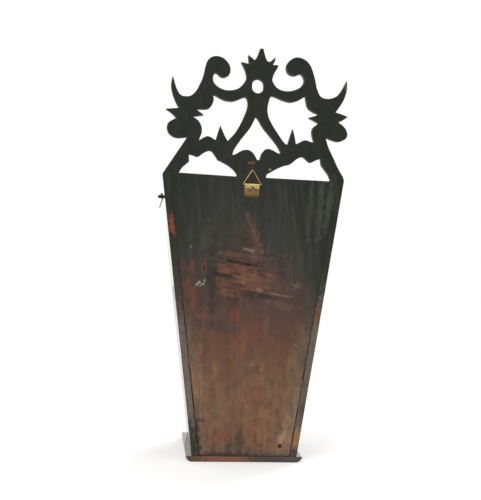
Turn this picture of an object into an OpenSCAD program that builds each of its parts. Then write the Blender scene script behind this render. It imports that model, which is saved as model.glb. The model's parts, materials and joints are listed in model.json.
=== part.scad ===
// Hanging cutlery box: a tapered boarded carcase with a pierced crest on its back board,
// a sloping lid on two iron pins and a brass hanger with a swinging wire bail.
// Millimetres. +Z is up, the front faces -Y, the crest board is at the back (+Y),
// and the origin is under the middle of the base.

/* [Carcase] */
// Outer width of the carcase where it stands on the base
foot_w = 127; // [100:1:160]
// Outer width of the carcase at the shoulders of the back board
shoulder_w = 220; // [180:1:260]
// Height of the shoulders, where the pierced crest begins
shoulder_z = 342; // [300:1:400]
// Depth of the carcase from the front board to the back board
carcase_d = 122; // [100:1:160]
// Thickness of the side boards
side_t = 8.5; // [6:0.1:12]
// Thickness of the front board
front_t = 9; // [6:0.1:12]
// Thickness of the back board
back_t = 9; // [6:0.1:12]
// Height at which the ears of the back board sit on the side boards
ear_z = 312; // [280:1:325]

/* [Base] */
// Thickness of the base board
base_t = 7; // [5:0.1:12]
// Ledge of the base beyond the carcase at the front and at both sides
base_ledge = 7; // [4:0.1:12]
// Radius of the rounded under-edge of the base
base_round = 9; // [6:0.1:12]
// Height of the plain lip above the rounded under-edge
base_lip = 1.2; // [0.8:0.1:3]

/* [Divider] */
// Thickness of the divider
divider_t = 6; // [4:0.1:9]
// Height of the divider above the base
divider_h = 185; // [100:1:220]
// Depth of the groove that holds each edge of the divider
groove_d = 2.5; // [1.5:0.1:4]
// Depth of the hollow worked in the top edge of the divider
divider_dip = 16; // [4:1:30]

/* [Corner blocks] */
// Length of each corner block along the back board
block_l = 23; // [15:1:35]
// Height of each corner block
block_h = 20; // [17:1:30]
// Depth of each corner block on the base
block_d = 14; // [8:1:20]
// Space between the end of a corner block and the side board
block_gap = 1; // [0.5:0.1:4]
// Thickness of the square nose of a corner block
block_nose = 4; // [2:0.5:6]

/* [Crest] */
// Height of the crest above the shoulders
crest_h = 156; // [120:1:190]
// Radius of the ends of the long hole in the middle of the crest
crest_hole_r = 7; // [5:0.1:9]
// Straight length of the long hole
crest_hole_l = 3.2; // [1:0.1:6]

/* [Lid] */
// Thickness of the lid
lid_t = 9; // [6:0.1:12]
// Slope of the closed lid in degrees
lid_slope = 28; // [15:1:40]
// Overhang of the lid beyond the front board
lid_overhang = 10; // [4:1:16]
// Distance that the lid ends stay inside the faces of the side boards
lid_inset = 0.5; // [0.2:0.1:2]
// Height of the lid pins above the table
pin_z = 316; // [300:0.5:330]
// Radius of the rounded cheek that carries a lid pin
cheek_r = 9; // [7:0.5:12]
// Space between a cheek and the lid
cheek_gap = 1; // [0.5:0.1:2]

/* [Lid pins] */
// Radius of the lid pins
pin_r = 1.9; // [1.5:0.1:2.5]
// Length of pin driven into the end of the lid
pin_grip_l = 16; // [10:1:25]
// Length of the right pin that stands out beyond its side board
right_pin_out = 7.7; // [6.5:0.1:10]
// Length of the left pin that stands out beyond its side board
left_pin_out = 2.4; // [1.5:0.1:5]
// Radius of the wire of the keeper loop
keeper_wire_r = 0.6; // [0.4:0.05:0.9]
// Inner radius of the keeper loop
keeper_loop_r = 2.6; // [2.6:0.1:4]
// Radius of the loose tail of the keeper
keeper_tail_r = 0.5; // [0.3:0.05:0.55]
// Radius of the bead at the end of the loose tail
keeper_bead_r = 0.9; // [0.7:0.05:1.2]
// Drop of the loose tail of the keeper
keeper_tail_drop = 10.4; // [5:0.1:15]
// Distance that the loose tail leans away from the box
keeper_tail_out = 3.3; // [1:0.1:6]

/* [Hanger] */
// Distance of the hanger from the middle of the back board
hanger_x = 2.4; // [-8:0.1:8]
// Height of the knuckle of the hanger above the table
hanger_z = 333.5; // [325:0.1:338]
// Width of the hanger plate
hanger_w = 18; // [12:0.1:20]
// Height of the leaf below the knuckle
hanger_leaf_h = 15.5; // [10:0.1:20]
// Thickness of the brass sheet
hanger_sheet = 0.7; // [0.5:0.05:1.2]
// Radius of the bail wire
bail_wire_r = 0.6; // [0.5:0.05:0.9]
// Half of the width of the bail at its feet
bail_half_w = 11.2; // [11:0.1:18]
// Height of the bail above the knuckle
bail_h = 18.5; // [10:0.1:25]
// Drop of the screw below the knuckle
hanger_screw_drop = 4.6; // [4.2:0.1:9]
// Radius of the domed screw head
screw_head_r = 2.5; // [2:0.1:3.5]
// Height of the domed screw head
screw_head_h = 1.1; // [0.8:0.1:1.5]
// Radius of the screw shank
screw_shank_r = 1.2; // [0.8:0.1:1.6]
// Length of the screw shank
screw_shank_l = 6.5; // [4:0.1:8]
// Width of the screw slot
screw_slot_w = 0.7; // [0.5:0.1:1]

/* [Nails] */
// Radius of the nail shanks
nail_r = 0.9; // [0.6:0.1:1.2]
// Radius of the nail heads
nail_head_r = 1.8; // [1.3:0.1:2.2]
// Thickness of the nail heads
nail_head_h = 0.8; // [0.5:0.1:1.2]
// Depth that the nail heads are punched below the wood
nail_sink = 0.5; // [0.3:0.1:1]
// Length of the nails through the side and front boards
board_nail_l = 26; // [20:1:32]
// Length of the nails through the base
base_nail_l = 22; // [16:1:28]
// Length of the nails through the back board
back_nail_l = 15; // [12:1:17]
// Height of the back nails above the base
back_nail_rise = 13; // [9:0.5:15]
// Distance of the base nails from the inner corners of the carcase
base_nail_inset = 21; // [14:1:30]

/* [Fits] */
// Running clearance of the lid pins and of the bail
run_fit = 0.06; // [0.02:0.01:0.1]
// Clearance of driven nails, pins and screws in the wood
drive_fit = 0.01; // [0.005:0.005:0.05]
// Space under the closed lid
lid_seat = 0.05; // [0:0.01:0.3]
// Overlap of the keeper loop with the pin that it is wound on
wound_grip = 0.03; // [0.01:0.01:0.1]

/* [Hidden] */
$fn = 64;
curve_steps = 2;
// Middle of the long hole on the drawn crest
drawn_hole = [0.6, 110.6];

reach = shoulder_w;
base_d = carcase_d + base_ledge;
back_y = base_d / 2;
front_y = back_y - carcase_d;
back_in_y = back_y - back_t;
front_in_y = front_y + front_t;
flare = (shoulder_w - foot_w) / 2 / (shoulder_z - base_t);
side_run = side_t * sqrt(1 + flare * flare);
base_half_w = foot_w / 2 + base_ledge;
base_run = sqrt(base_round * base_round - pow(base_round + base_lip - base_t, 2));
pin_y = back_in_y - cheek_r - cheek_gap;
lid_l = (pin_y - front_y + lid_overhang) / cos(lid_slope);
notch_l = cheek_r + cheek_gap;
tongue_half = inner_half(pin_z - notch_l) - cheek_gap;
knuckle_in_r = bail_wire_r + run_fit;
knuckle_r = knuckle_in_r + hanger_sheet;
knuckle_y = back_y + knuckle_r;
keeper_r = keeper_loop_r + keeper_wire_r;
keeper_rise = keeper_loop_r - pin_r + wound_grip;
keeper_x = outer_half(pin_z + keeper_rise + keeper_r) + keeper_wire_r + cheek_gap;
block_x = inner_half(base_t) - block_gap - block_l / 2;
nail_heights = [for (part = [0.1, 0.36, 0.62, 0.88]) base_t + part * (ear_z - base_t)];
front_nail_heights = [for (part = [0.1, 0.38, 0.66, 0.92]) base_t + part * (seat_z(front_y) - base_t)];

// Half of the outer width of the carcase at a height
function outer_half(z) = foot_w / 2 + flare * (z - base_t);

// Half of the clear width between the side boards at a height
function inner_half(z) = outer_half(z) - side_run;

// Height of the top edge of the carcase under the sloping lid
function seat_z(y) = pin_z - (lid_t / 2 + lid_seat) / cos(lid_slope) - (pin_y - y) * tan(lid_slope);

// Direction of a smooth run of points at one of its points
function run_dir(run, i) =
    i == 0 ? run[1] - run[0]
    : i == len(run) - 1 ? run[i] - run[i - 1]
    : (run[i + 1] - run[i - 1]) / 2;

// Point on the smooth curve between two neighbours of a run
function on_run(run, i, t) =
    (2 * t * t * t - 3 * t * t + 1) * run[i]
    + (t * t * t - 2 * t * t + t) * run_dir(run, i)
    + (3 * t * t - 2 * t * t * t) * run[i + 1]
    + (t * t * t - t * t) * run_dir(run, i + 1);

// Outline traced along smooth runs that meet at corners
function trace(runs) = [
    for (run = runs)
        for (i = [0 : len(run) - 2])
            for (k = [0 : len(run) == 2 ? 0 : curve_steps - 1])
                on_run(run, i, k / curve_steps)
];

// The crest is drawn as seen from behind, so its left is +X on the box
function on_board(p) = [-p[0] * shoulder_w / drawn_w, shoulder_z + p[1] * crest_h / drawn_h];

// Outer edge of the crest, from the left shoulder over the top to the right shoulder
crest_outline = [
    [[-109.5, 1.5], [-82.2, 45.2]],
    [[-82.2, 45.2], [-88, 44.3], [-93.5, 43.8], [-98, 44.6], [-102.2, 46.9], [-105.3, 50.4], [-106.7, 55],
        [-106.5, 58.5], [-105, 61.5], [-102, 64], [-98, 66.3], [-96, 67.8]],
    [[-96, 67.8], [-101.5, 72.8], [-108.7, 77.6]],
    [[-108.7, 77.6], [-93.3, 79.4]],
    [[-93.3, 79.4], [-96.5, 85], [-99.5, 91], [-101.8, 97.5], [-103.2, 103.5], [-103.5, 108],
        [-103, 112], [-102, 117]],
    [[-102, 117], [-100.3, 113.1], [-99, 108.5], [-97.4, 104.2], [-95.4, 99.9], [-93, 96.3], [-90, 94.3],
        [-86, 93.7], [-82, 94], [-79, 95.2], [-76.5, 97.4], [-74, 100.2], [-72, 103.5], [-70, 107.8],
        [-68, 112], [-66.5, 116.3], [-65.2, 121], [-64.2, 126], [-63.3, 131], [-62.2, 135],
        [-60.5, 138.5], [-57.5, 141.5], [-54, 143.2], [-50, 143.8], [-46, 143.3], [-42, 141.7],
        [-38.5, 139], [-35.5, 135.5], [-33.7, 131.7], [-33, 127.7], [-33.5, 124.5], [-35.2, 121.8],
        [-37.6, 120.2], [-40.3, 119], [-43.1, 119.2], [-46.2, 120.6], [-48.5, 122.8], [-51, 123.8],
        [-52.7, 122], [-53.7, 118.9], [-53.8, 115.9], [-52.8, 112.3], [-50, 109], [-46, 106.3],
        [-41.5, 104.4], [-37, 103.6], [-32, 103.8], [-27, 104.8], [-22.5, 106.8], [-18.7, 110.4],
        [-16, 114.2], [-14.2, 117.2], [-13.5, 120], [-13.8, 123.4], [-15, 127.8], [-17.4, 133], [-20.5, 138.3]],
    [[-20.5, 138.3], [-11, 136.7]],
    [[-11, 136.7], [-12.3, 147.3]],
    [[-12.3, 147.3], [-7.9, 144.4], [-4.4, 141.6]],
    [[-4.4, 141.6], [-2.2, 144.8], [-0.2, 149.5], [2, 156]],
    [[2, 156], [5.7, 156]],
    [[5.7, 156], [7.5, 149.5], [9.5, 143.8], [11.6, 141], [13.8, 140.4]],
    [[13.8, 140.4], [17, 143], [21.2, 146.8]],
    [[21.2, 146.8], [20.2, 142], [18, 137]],
    [[18, 137], [24.8, 137.3]],
    [[24.8, 137.3], [23.6, 133.4], [21, 129.1], [19.1, 124.7], [18, 120.5], [18.1, 117.6], [19.7, 114.5],
        [22.5, 111], [26.3, 108.3], [31, 106.7], [36, 106.3], [40.9, 106.8], [45.7, 108.3], [50.3, 110.6],
        [53.8, 113.6], [56, 117.2], [56.9, 120.6], [55.8, 124.6], [53.6, 127.5], [51, 128.2], [48.5, 127],
        [45.1, 125.8], [41.4, 126.2], [38.4, 127.3], [36.2, 129.4], [34.8, 132.3], [34.3, 135.5],
        [34.8, 138.6], [36.4, 141.5], [39.2, 144.3], [43, 146.8], [47.5, 148], [52, 147.5], [56, 146],
        [59.8, 143.6], [63.1, 140], [65.8, 135], [67.8, 129.6], [69.6, 124.3], [70.8, 119.5], [71.7, 114.8],
        [73.1, 110.2], [74.9, 106.2], [77, 102.8], [80, 100.8], [84, 99.9], [88, 100], [92, 101], [96, 102.8],
        [99.6, 105.6], [102.6, 109.6], [105.7, 115], [109.4, 122.6]],
    [[109.4, 122.6], [109.8, 118], [109.8, 112.9], [109, 108.1], [107.5, 102.8], [105.3, 97.5], [102.5, 92.5],
        [99.5, 88], [96.8, 84]],
    [[96.8, 84], [104.5, 82], [112, 79.2]],
    [[112, 79.2], [106.3, 75], [100.3, 72.3]],
    [[100.3, 72.3], [103.6, 70.2], [107, 67.6], [109.9, 64.2], [111.7, 60.6], [112.2, 57], [111.2, 53.7],
        [108.6, 51.2], [103.4, 49], [98, 49], [93, 50.3], [89, 51.8], [86, 54]],
    [[86, 54], [86.3, 50], [88.3, 44], [90.5, 38.8], [93.2, 33.6], [96.6, 27], [100.1, 20], [104, 13],
        [107.3, 8], [109.4, 4], [110, 0]]
];

upper_left_opening = [
    [[-53.3, 97.3], [-50, 96.6], [-46, 94.6], [-42, 92.7], [-38, 91.4], [-34, 91], [-30, 90.9],
        [-26, 91.9], [-22, 93.6], [-18, 95.5], [-15, 96.6], [-12.8, 95.8], [-11.4, 92.8], [-10.8, 89.5],
        [-11, 86], [-11.9, 81.5], [-13.5, 76.8], [-15.5, 71.4], [-18, 65.6], [-20.8, 60], [-23.9, 54.8],
        [-27.8, 49.5], [-33.7, 43]],
    [[-33.7, 43], [-36.6, 47.6], [-39.9, 54.3], [-43, 60.8]],
    [[-43, 60.8], [-45.1, 54], [-48, 43.2]],
    [[-48, 43.2], [-50.4, 44.5], [-53.8, 46.4], [-57.4, 47.5], [-60.4, 46.7], [-63.5, 45], [-68, 42.2]],
    [[-68, 42.2], [-66.9, 45.5], [-65.5, 49.5], [-64.8, 53.5], [-65.2, 57.5], [-66.5, 61], [-68.8, 64.5],
        [-71.6, 67.2], [-77, 70]],
    [[-77, 70], [-63.6, 72.6]],
    [[-63.6, 72.6], [-68, 75.9], [-73.2, 79]],
    [[-73.2, 79], [-66, 79.5], [-60.4, 79.9], [-56.6, 81.6], [-53.9, 85.3], [-52.3, 89.4], [-52.1, 93], [-53.3, 97.3]]
];

upper_right_opening = [
    [[16.8, 99.7], [20, 99.4], [24, 98.2], [28, 96.6], [32, 95.2], [36, 94.2], [40, 93.6], [44.2, 94.1],
        [48.5, 95.4], [52.5, 97.5], [59, 101.6]],
    [[59, 101.6], [60.1, 96.4], [61, 92.3], [62.2, 89], [64.3, 86.4], [67.3, 84.3], [70.8, 82.6], [76.5, 80.6]],
    [[76.5, 80.6], [70.3, 77.9], [64, 75.9]],
    [[64, 75.9], [69.5, 73.4], [76, 70.2]],
    [[76, 70.2], [74.2, 67.8], [70.8, 65.3], [68.9, 62], [68.6, 58.3], [69.2, 54.4], [70.3, 50.5], [72, 46.2]],
    [[72, 46.2], [67.5, 46.6], [64, 47.8], [60.6, 48.4], [57.4, 47.5], [54, 45.5], [49.3, 43]],
    [[49.3, 43], [47.6, 51], [44.8, 61]],
    [[44.8, 61], [42.6, 53.6], [39.3, 42]],
    [[39.3, 42], [36.8, 42.6], [34.8, 44.4], [32, 47.6], [28.8, 52], [25, 57.1], [21, 62.8], [17.2, 69.2],
        [14.8, 74], [13.7, 78.4], [13.1, 83], [13.5, 88], [14.5, 92.9], [15.7, 96.8], [16.8, 99.7]]
];

centre_opening = [
    [[-0.6, 73.6], [1.5, 71.7], [3.8, 68.6], [6.5, 64.1], [10.3, 59.1], [14.4, 54.5], [18.4, 50.1], [22.3, 45.6],
        [26, 41], [29, 36.5], [30.7, 33.3], [31.2, 30.5]],
    [[31.2, 30.5], [27.8, 31.1], [24.5, 32.6], [21, 34.4], [17.6, 35.5], [14.2, 35.6], [11.4, 34.2], [9.3, 31.5],
        [7.6, 28.4], [5.8, 21.9]],
    [[5.8, 21.9], [2.8, 21.8]],
    [[2.8, 21.8], [0.4, 26], [-2, 29.6], [-5, 32], [-9, 33.4], [-13, 33.1], [-17, 31.7], [-21, 29.2], [-24.2, 27.2],
        [-27.2, 26.6]],
    [[-27.2, 26.6], [-26.6, 30], [-25.2, 33.3], [-22.8, 37.6], [-19.6, 42.4], [-15.7, 47.9], [-12, 52.9],
        [-8.3, 57.8], [-5.2, 63.3], [-2.6, 69.1], [-0.6, 73.6]]
];

lower_left_opening = [
    [[-90.4, 2.4], [-88.4, 6.6], [-85.4, 10.4], [-78.9, 16.3]],
    [[-78.9, 16.3], [-79.5, 24.8]],
    [[-79.5, 24.8], [-75.8, 24.2], [-72.7, 23.3], [-70.1, 22.4], [-66.8, 23.5], [-63.6, 26.1], [-60.2, 28.4],
        [-57.1, 29.9], [-54.3, 30.4], [-51.6, 29], [-49, 26], [-44.8, 19.7]],
    [[-44.8, 19.7], [-40.7, 18.1], [-36.7, 16.1], [-32.5, 14], [-28.4, 11.3], [-24.7, 8.2], [-22.2, 5],
        [-21, 2.7], [-22.3, 0.8]],
    [[-22.3, 0.8], [-90.4, 2.4]]
];

lower_right_opening = [
    [[14.4, 0.8], [14.5, 3.2], [16, 5.5]],
    [[16, 5.5], [18.8, 7], [22.6, 9.4], [26.6, 11.8], [30.6, 13.9], [34.5, 15.7], [38.3, 17], [42.4, 18], [45.8, 20.4],
        [49, 23.3], [52, 25.7], [54.7, 27.2], [57.4, 28.1], [60.4, 27], [63, 24.9], [65.4, 22.9], [68.1, 21.7],
        [71, 22.5], [73.7, 24.2], [80.3, 27]],
    [[80.3, 27], [81.1, 23], [82, 19], [84.7, 15.5], [87.6, 11.8], [90.6, 8.1], [92.1, 4.8], [93.3, 2.3],
        [92.6, 0]],
    [[92.6, 0], [14.4, 0.8]]
];

// Width of the drawn crest at its shoulders, and its height
last_run = crest_outline[len(crest_outline) - 1];
drawn_w = 2 * last_run[len(last_run) - 1][0];
drawn_h = max([for (run = crest_outline) for (p = run) p[1]]);

openings = [upper_left_opening, upper_right_opening, centre_opening, lower_left_opening, lower_right_opening];

// One nail with its head at the origin, driven down along -Z
module nail(length, grow) {
    translate([0, 0, -nail_head_h])
        cylinder(h = nail_head_h, r = nail_head_r + grow);
    translate([0, 0, -length])
        cylinder(h = length, r = nail_r + grow);
}

// The nail with its clearance and the punched hole above its head
module nail_hole(length) {
    nail(length, drive_fit);
    translate([0, 0, -nail_head_h])
        cylinder(h = nail_head_h + 2 * nail_sink + side_t, r = nail_head_r + drive_fit);
}

// Places of the nails that go through one side board into the back board
module at_side_nails(side) {
    for (z = nail_heights)
        translate([side * (outer_half(z) - nail_sink), back_y - back_t / 2, z])
            rotate([0, side * 90, 0])
                children();
}

// Places of the nails that go through the front board into the side boards
module at_front_nails() {
    for (side = [-1, 1])
        for (z = front_nail_heights)
            translate([side * (outer_half(z) - side_run / 2), front_y + nail_sink, z])
                rotate([90, 0, 0])
                    children();
}

// Places of the nails that go through the back board into the corner blocks
module at_back_nails() {
    for (side = [-1, 1])
        translate([side * block_x, back_y - nail_sink, base_t + back_nail_rise])
            rotate([-90, 0, 0])
                children();
}

// Places of the nails that go up through the base into the four boards
module at_base_nails() {
    foot_x = inner_half(base_t + (base_nail_l - base_t) / 2) + side_run / 2;
    board_x = inner_half(base_t) - base_nail_inset;
    for (side = [-1, 1]) {
        for (y = [front_in_y + base_nail_inset, back_in_y - base_nail_inset])
            translate([side * foot_x, y, nail_sink])
                rotate([180, 0, 0])
                    children();
        translate([side * board_x, back_y - back_t / 2, nail_sink])
            rotate([180, 0, 0])
                children();
        translate([side * board_x, front_y + front_t / 2, nail_sink])
            rotate([180, 0, 0])
                children();
    }
}

// A flat shape drawn in Y and Z, made into a board across X
module across(half_w) {
    rotate([90, 0, 90])
        linear_extrude(2 * half_w, center = true)
            children();
}

// A flat shape drawn in X and Z, made into a board that reaches back from a given front face
module upright(y, t) {
    translate([0, y + t, 0])
        rotate([90, 0, 0])
            linear_extrude(t)
                children();
}

// The room taken by the divider and its fit in the grooves
module divider_room() {
    translate([-divider_t / 2, front_in_y - groove_d, base_t])
        cube([divider_t, back_in_y - front_in_y + 2 * groove_d, divider_h]);
}

module back_board() {
    ear = [
        [inner_half(base_t), base_t],
        [inner_half(ear_z), ear_z],
        [outer_half(ear_z), ear_z],
        [outer_half(shoulder_z), shoulder_z]
    ];
    outline = concat(
        ear,
        [for (p = trace(crest_outline)) on_board(p)],
        [for (i = [3 : -1 : 0]) [-ear[i][0], ear[i][1]]]
    );
    color("#3a3a34")
        difference() {
            upright(back_in_y, back_t)
                difference() {
                    polygon(outline);
                    for (runs = openings)
                        polygon([for (p = trace(runs)) on_board(p)]);
                    translate(on_board(drawn_hole)) {
                        for (side = [-1, 1])
                            translate([0, side * crest_hole_l / 2])
                                circle(r = crest_hole_r);
                        square([2 * crest_hole_r, crest_hole_l], center = true);
                    }
                }
            divider_room();
            at_side_nails(-1) nail_hole(board_nail_l);
            at_side_nails(1) nail_hole(board_nail_l);
            at_back_nails() nail_hole(back_nail_l);
            at_base_nails() nail_hole(base_nail_l);
            at_hanger_screw() screw_shank(drive_fit);
        }
}

// One side board with the cheek that carries its lid pin
module side_board(side) {
    difference() {
        intersection() {
            union() {
                across(reach)
                    polygon([
                        [front_in_y, base_t],
                        [front_in_y, seat_z(front_in_y)],
                        [pin_y, seat_z(pin_y)],
                        [pin_y, pin_z + cheek_r],
                        [back_in_y, pin_z + cheek_r],
                        [back_in_y, ear_z],
                        [back_y, ear_z],
                        [back_y, base_t]
                    ]);
                translate([0, pin_y, pin_z])
                    rotate([0, 90, 0])
                        cylinder(h = 2 * reach, r = cheek_r, center = true);
            }
            upright(front_y, carcase_d)
                polygon([
                    [side * inner_half(0), 0],
                    [side * outer_half(0), 0],
                    [side * outer_half(shoulder_z), shoulder_z],
                    [side * inner_half(shoulder_z), shoulder_z]
                ]);
        }
        translate([0, pin_y, pin_z])
            rotate([0, 90, 0])
                cylinder(h = 2 * reach, r = pin_r + run_fit, center = true);
        at_side_nails(side) nail_hole(board_nail_l);
        at_front_nails() nail_hole(board_nail_l);
        at_base_nails() nail_hole(base_nail_l);
    }
}

module left_side() {
    color("#5a4334")
        side_board(-1);
}

module right_side() {
    color("#5a4334")
        side_board(1);
}

module front_board() {
    color("#5f4636")
        difference() {
            intersection() {
                upright(front_y, front_t)
                    polygon([
                        [-outer_half(base_t), base_t],
                        [outer_half(base_t), base_t],
                        [outer_half(pin_z), pin_z],
                        [-outer_half(pin_z), pin_z]
                    ]);
                across(reach)
                    polygon([
                        [front_y, 0],
                        [front_y, seat_z(front_y)],
                        [back_y, seat_z(back_y)],
                        [back_y, 0]
                    ]);
            }
            divider_room();
            at_front_nails() nail_hole(board_nail_l);
            at_base_nails() nail_hole(base_nail_l);
        }
}

module base_board() {
    color("#6a4a3a")
        difference() {
            intersection() {
                upright(front_y - base_ledge, base_d)
                    intersection() {
                        union() {
                            for (side = [-1, 1])
                                translate([side * (base_half_w - base_run), base_round])
                                    circle(r = base_round);
                            translate([base_run - base_half_w, 0])
                                square([2 * (base_half_w - base_run), base_t]);
                        }
                        translate([-base_half_w, 0])
                            square([2 * base_half_w, base_t]);
                    }
                across(reach)
                    intersection() {
                        union() {
                            translate([base_run - back_y, base_round])
                                circle(r = base_round);
                            translate([base_run - back_y, 0])
                                square([base_d - base_run, base_t]);
                        }
                        translate([-back_y, 0])
                            square([base_d, base_t]);
                    }
            }
            at_base_nails() nail_hole(base_nail_l);
        }
}

module divider() {
    dip_half = (back_in_y - front_in_y) / 4;
    dip_r = (dip_half * dip_half + divider_dip * divider_dip) / 2 / divider_dip;
    color("#6b5140")
        difference() {
            divider_room();
            translate([0, (front_in_y + back_in_y) / 2, base_t + divider_h + dip_r - divider_dip])
                rotate([0, 90, 0])
                    cylinder(h = 2 * divider_t, r = dip_r, center = true);
        }
}

// One corner block glued between the base and the back board
module corner_block(side) {
    difference() {
        translate([side * block_x, 0, 0])
            across(block_l / 2)
                polygon([
                    [back_in_y, base_t],
                    [back_in_y, base_t + block_h],
                    [back_in_y - block_nose, base_t + block_h],
                    [back_in_y - block_d, base_t + block_nose],
                    [back_in_y - block_d, base_t]
                ]);
        at_back_nails() nail_hole(back_nail_l);
    }
}

module left_corner_block() {
    color("#a08058")
        corner_block(-1);
}

module right_corner_block() {
    color("#a08058")
        corner_block(1);
}

module lid_board() {
    color("#5c4234")
        difference() {
            intersection() {
                translate([0, pin_y, pin_z])
                    rotate([lid_slope, 0, 0])
                        difference() {
                            across(reach) {
                                circle(r = lid_t / 2);
                                translate([lid_t / 2 - lid_l, 0])
                                    circle(r = lid_t / 2);
                                translate([lid_t / 2 - lid_l, -lid_t / 2])
                                    square([lid_l - lid_t / 2, lid_t]);
                            }
                            for (side = [-1, 1])
                                translate([side * (tongue_half + reach), 0, 0])
                                    cube([2 * reach, 2 * notch_l, 2 * notch_l], center = true);
                        }
                upright(-reach, 2 * reach)
                    polygon([
                        [-outer_half(0) + lid_inset, 0],
                        [outer_half(0) - lid_inset, 0],
                        [outer_half(shoulder_z) - lid_inset, shoulder_z],
                        [-outer_half(shoulder_z) + lid_inset, shoulder_z]
                    ]);
            }
            for (side = [-1, 1])
                lid_pin_shape(side, right_pin_out, drive_fit);
        }
}

// One lid pin, from inside the lid to beyond its side board
module lid_pin_shape(side, out, grow) {
    inner_x = tongue_half - pin_grip_l;
    translate([side * inner_x, pin_y, pin_z])
        rotate([0, side * 90, 0])
            cylinder(h = outer_half(pin_z) + out - inner_x, r = pin_r + grow);
}

module left_lid_pin() {
    color("#3c3a38")
        lid_pin_shape(-1, left_pin_out, 0);
}

module right_lid_pin() {
    color("#3c3a38")
        lid_pin_shape(1, right_pin_out, 0);
}

// A straight wire between two points with round ends
module wire(a, b, r) {
    d = b - a;
    translate(a) {
        sphere(r = r);
        rotate([0, acos(d[2] / norm(d)), atan2(d[1], d[0])])
            cylinder(h = norm(d), r = r);
    }
    translate(b)
        sphere(r = r);
}

module pin_keeper() {
    loop_z = pin_z + keeper_rise;
    color("#4a4642")
        translate([keeper_x, pin_y, loop_z]) {
            rotate([0, 90, 0])
                rotate_extrude()
                    translate([keeper_r, 0])
                        circle(r = keeper_wire_r);
            translate([0, 0, -keeper_r])
                rotate([0, 180 - atan2(keeper_tail_out, keeper_tail_drop), 0]) {
                    cylinder(h = norm([keeper_tail_out, keeper_tail_drop]), r = keeper_tail_r);
                    translate([0, 0, norm([keeper_tail_out, keeper_tail_drop])])
                        sphere(r = keeper_bead_r);
                }
        }
}

module hanger_plate() {
    color("#b08d45")
        difference() {
            translate([hanger_x, 0, 0]) {
                translate([-hanger_w / 2, back_y, hanger_z - hanger_leaf_h])
                    cube([hanger_w, hanger_sheet, hanger_leaf_h - knuckle_in_r / 2]);
                translate([0, knuckle_y, hanger_z])
                    rotate([0, 90, 0])
                        cylinder(h = hanger_w, r = knuckle_r, center = true);
            }
            translate([hanger_x, knuckle_y, hanger_z])
                rotate([0, 90, 0])
                    cylinder(h = 2 * hanger_w, r = knuckle_in_r, center = true);
            at_hanger_screw() screw_shank(drive_fit);
        }
}

// Places a fitting at the screw of the hanger, with +Z out of the back
module at_hanger_screw() {
    translate([hanger_x, back_y + hanger_sheet, hanger_z - hanger_screw_drop])
        rotate([-90, 0, 0])
            children();
}

// The shank of the hanger screw
module screw_shank(grow) {
    translate([0, 0, -screw_shank_l])
        cylinder(h = screw_shank_l + screw_head_h / 2, r = screw_shank_r + grow);
}

module hanger_screw() {
    dome_r = (screw_head_r * screw_head_r + screw_head_h * screw_head_h) / 2 / screw_head_h;
    color("#8a8478")
        at_hanger_screw()
            difference() {
                union() {
                    intersection() {
                        translate([0, 0, screw_head_h - dome_r])
                            sphere(r = dome_r);
                        cylinder(h = 2 * screw_head_h, r = 2 * screw_head_r);
                    }
                    screw_shank(0);
                }
                translate([0, 0, screw_head_h])
                    rotate([0, 0, 64])
                        cube([3 * screw_head_r, screw_slot_w, screw_head_h], center = true);
            }
}

module hanger_bail() {
    apex = [hanger_x, knuckle_y, hanger_z + bail_h];
    left_foot = [hanger_x - bail_half_w, knuckle_y, hanger_z];
    right_foot = [hanger_x + bail_half_w, knuckle_y, hanger_z];
    color("#a08a58") {
        wire(left_foot, right_foot, bail_wire_r);
        wire(left_foot, apex, bail_wire_r);
        wire(right_foot, apex, bail_wire_r);
    }
}

module left_side_nails() {
    color("#4a4643")
        at_side_nails(-1) nail(board_nail_l, 0);
}

module right_side_nails() {
    color("#4a4643")
        at_side_nails(1) nail(board_nail_l, 0);
}

module front_nails() {
    color("#4a4643")
        at_front_nails() nail(board_nail_l, 0);
}

module back_nails() {
    color("#4a4643")
        at_back_nails() nail(back_nail_l, 0);
}

module base_nails() {
    color("#4a4643")
        at_base_nails() nail(base_nail_l, 0);
}

back_board();
left_side();
right_side();
front_board();
base_board();
divider();
left_corner_block();
right_corner_block();
lid_board();
left_lid_pin();
right_lid_pin();
pin_keeper();
hanger_plate();
hanger_screw();
hanger_bail();
left_side_nails();
right_side_nails();
front_nails();
back_nails();
base_nails();
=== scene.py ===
# %% [markdown]
# # A hanging cutlery box, seen from behind
# The box is a tapered case of thin mahogany boards that hangs on a wall by a brass loop. Its back board
# rises into a fretwork crest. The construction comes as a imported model, which is loaded first and never
# moved. This lesson gives it the surface of a real old box: boards with worn edges, bent wire, a folded
# brass plate, and finishes drawn with nodes.

# %% Load the construction
import json
import math

import bpy
import bmesh
import numpy as np
from mathutils import Matrix, Vector
from mathutils.geometry import delaunay_2d_cdt

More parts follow.
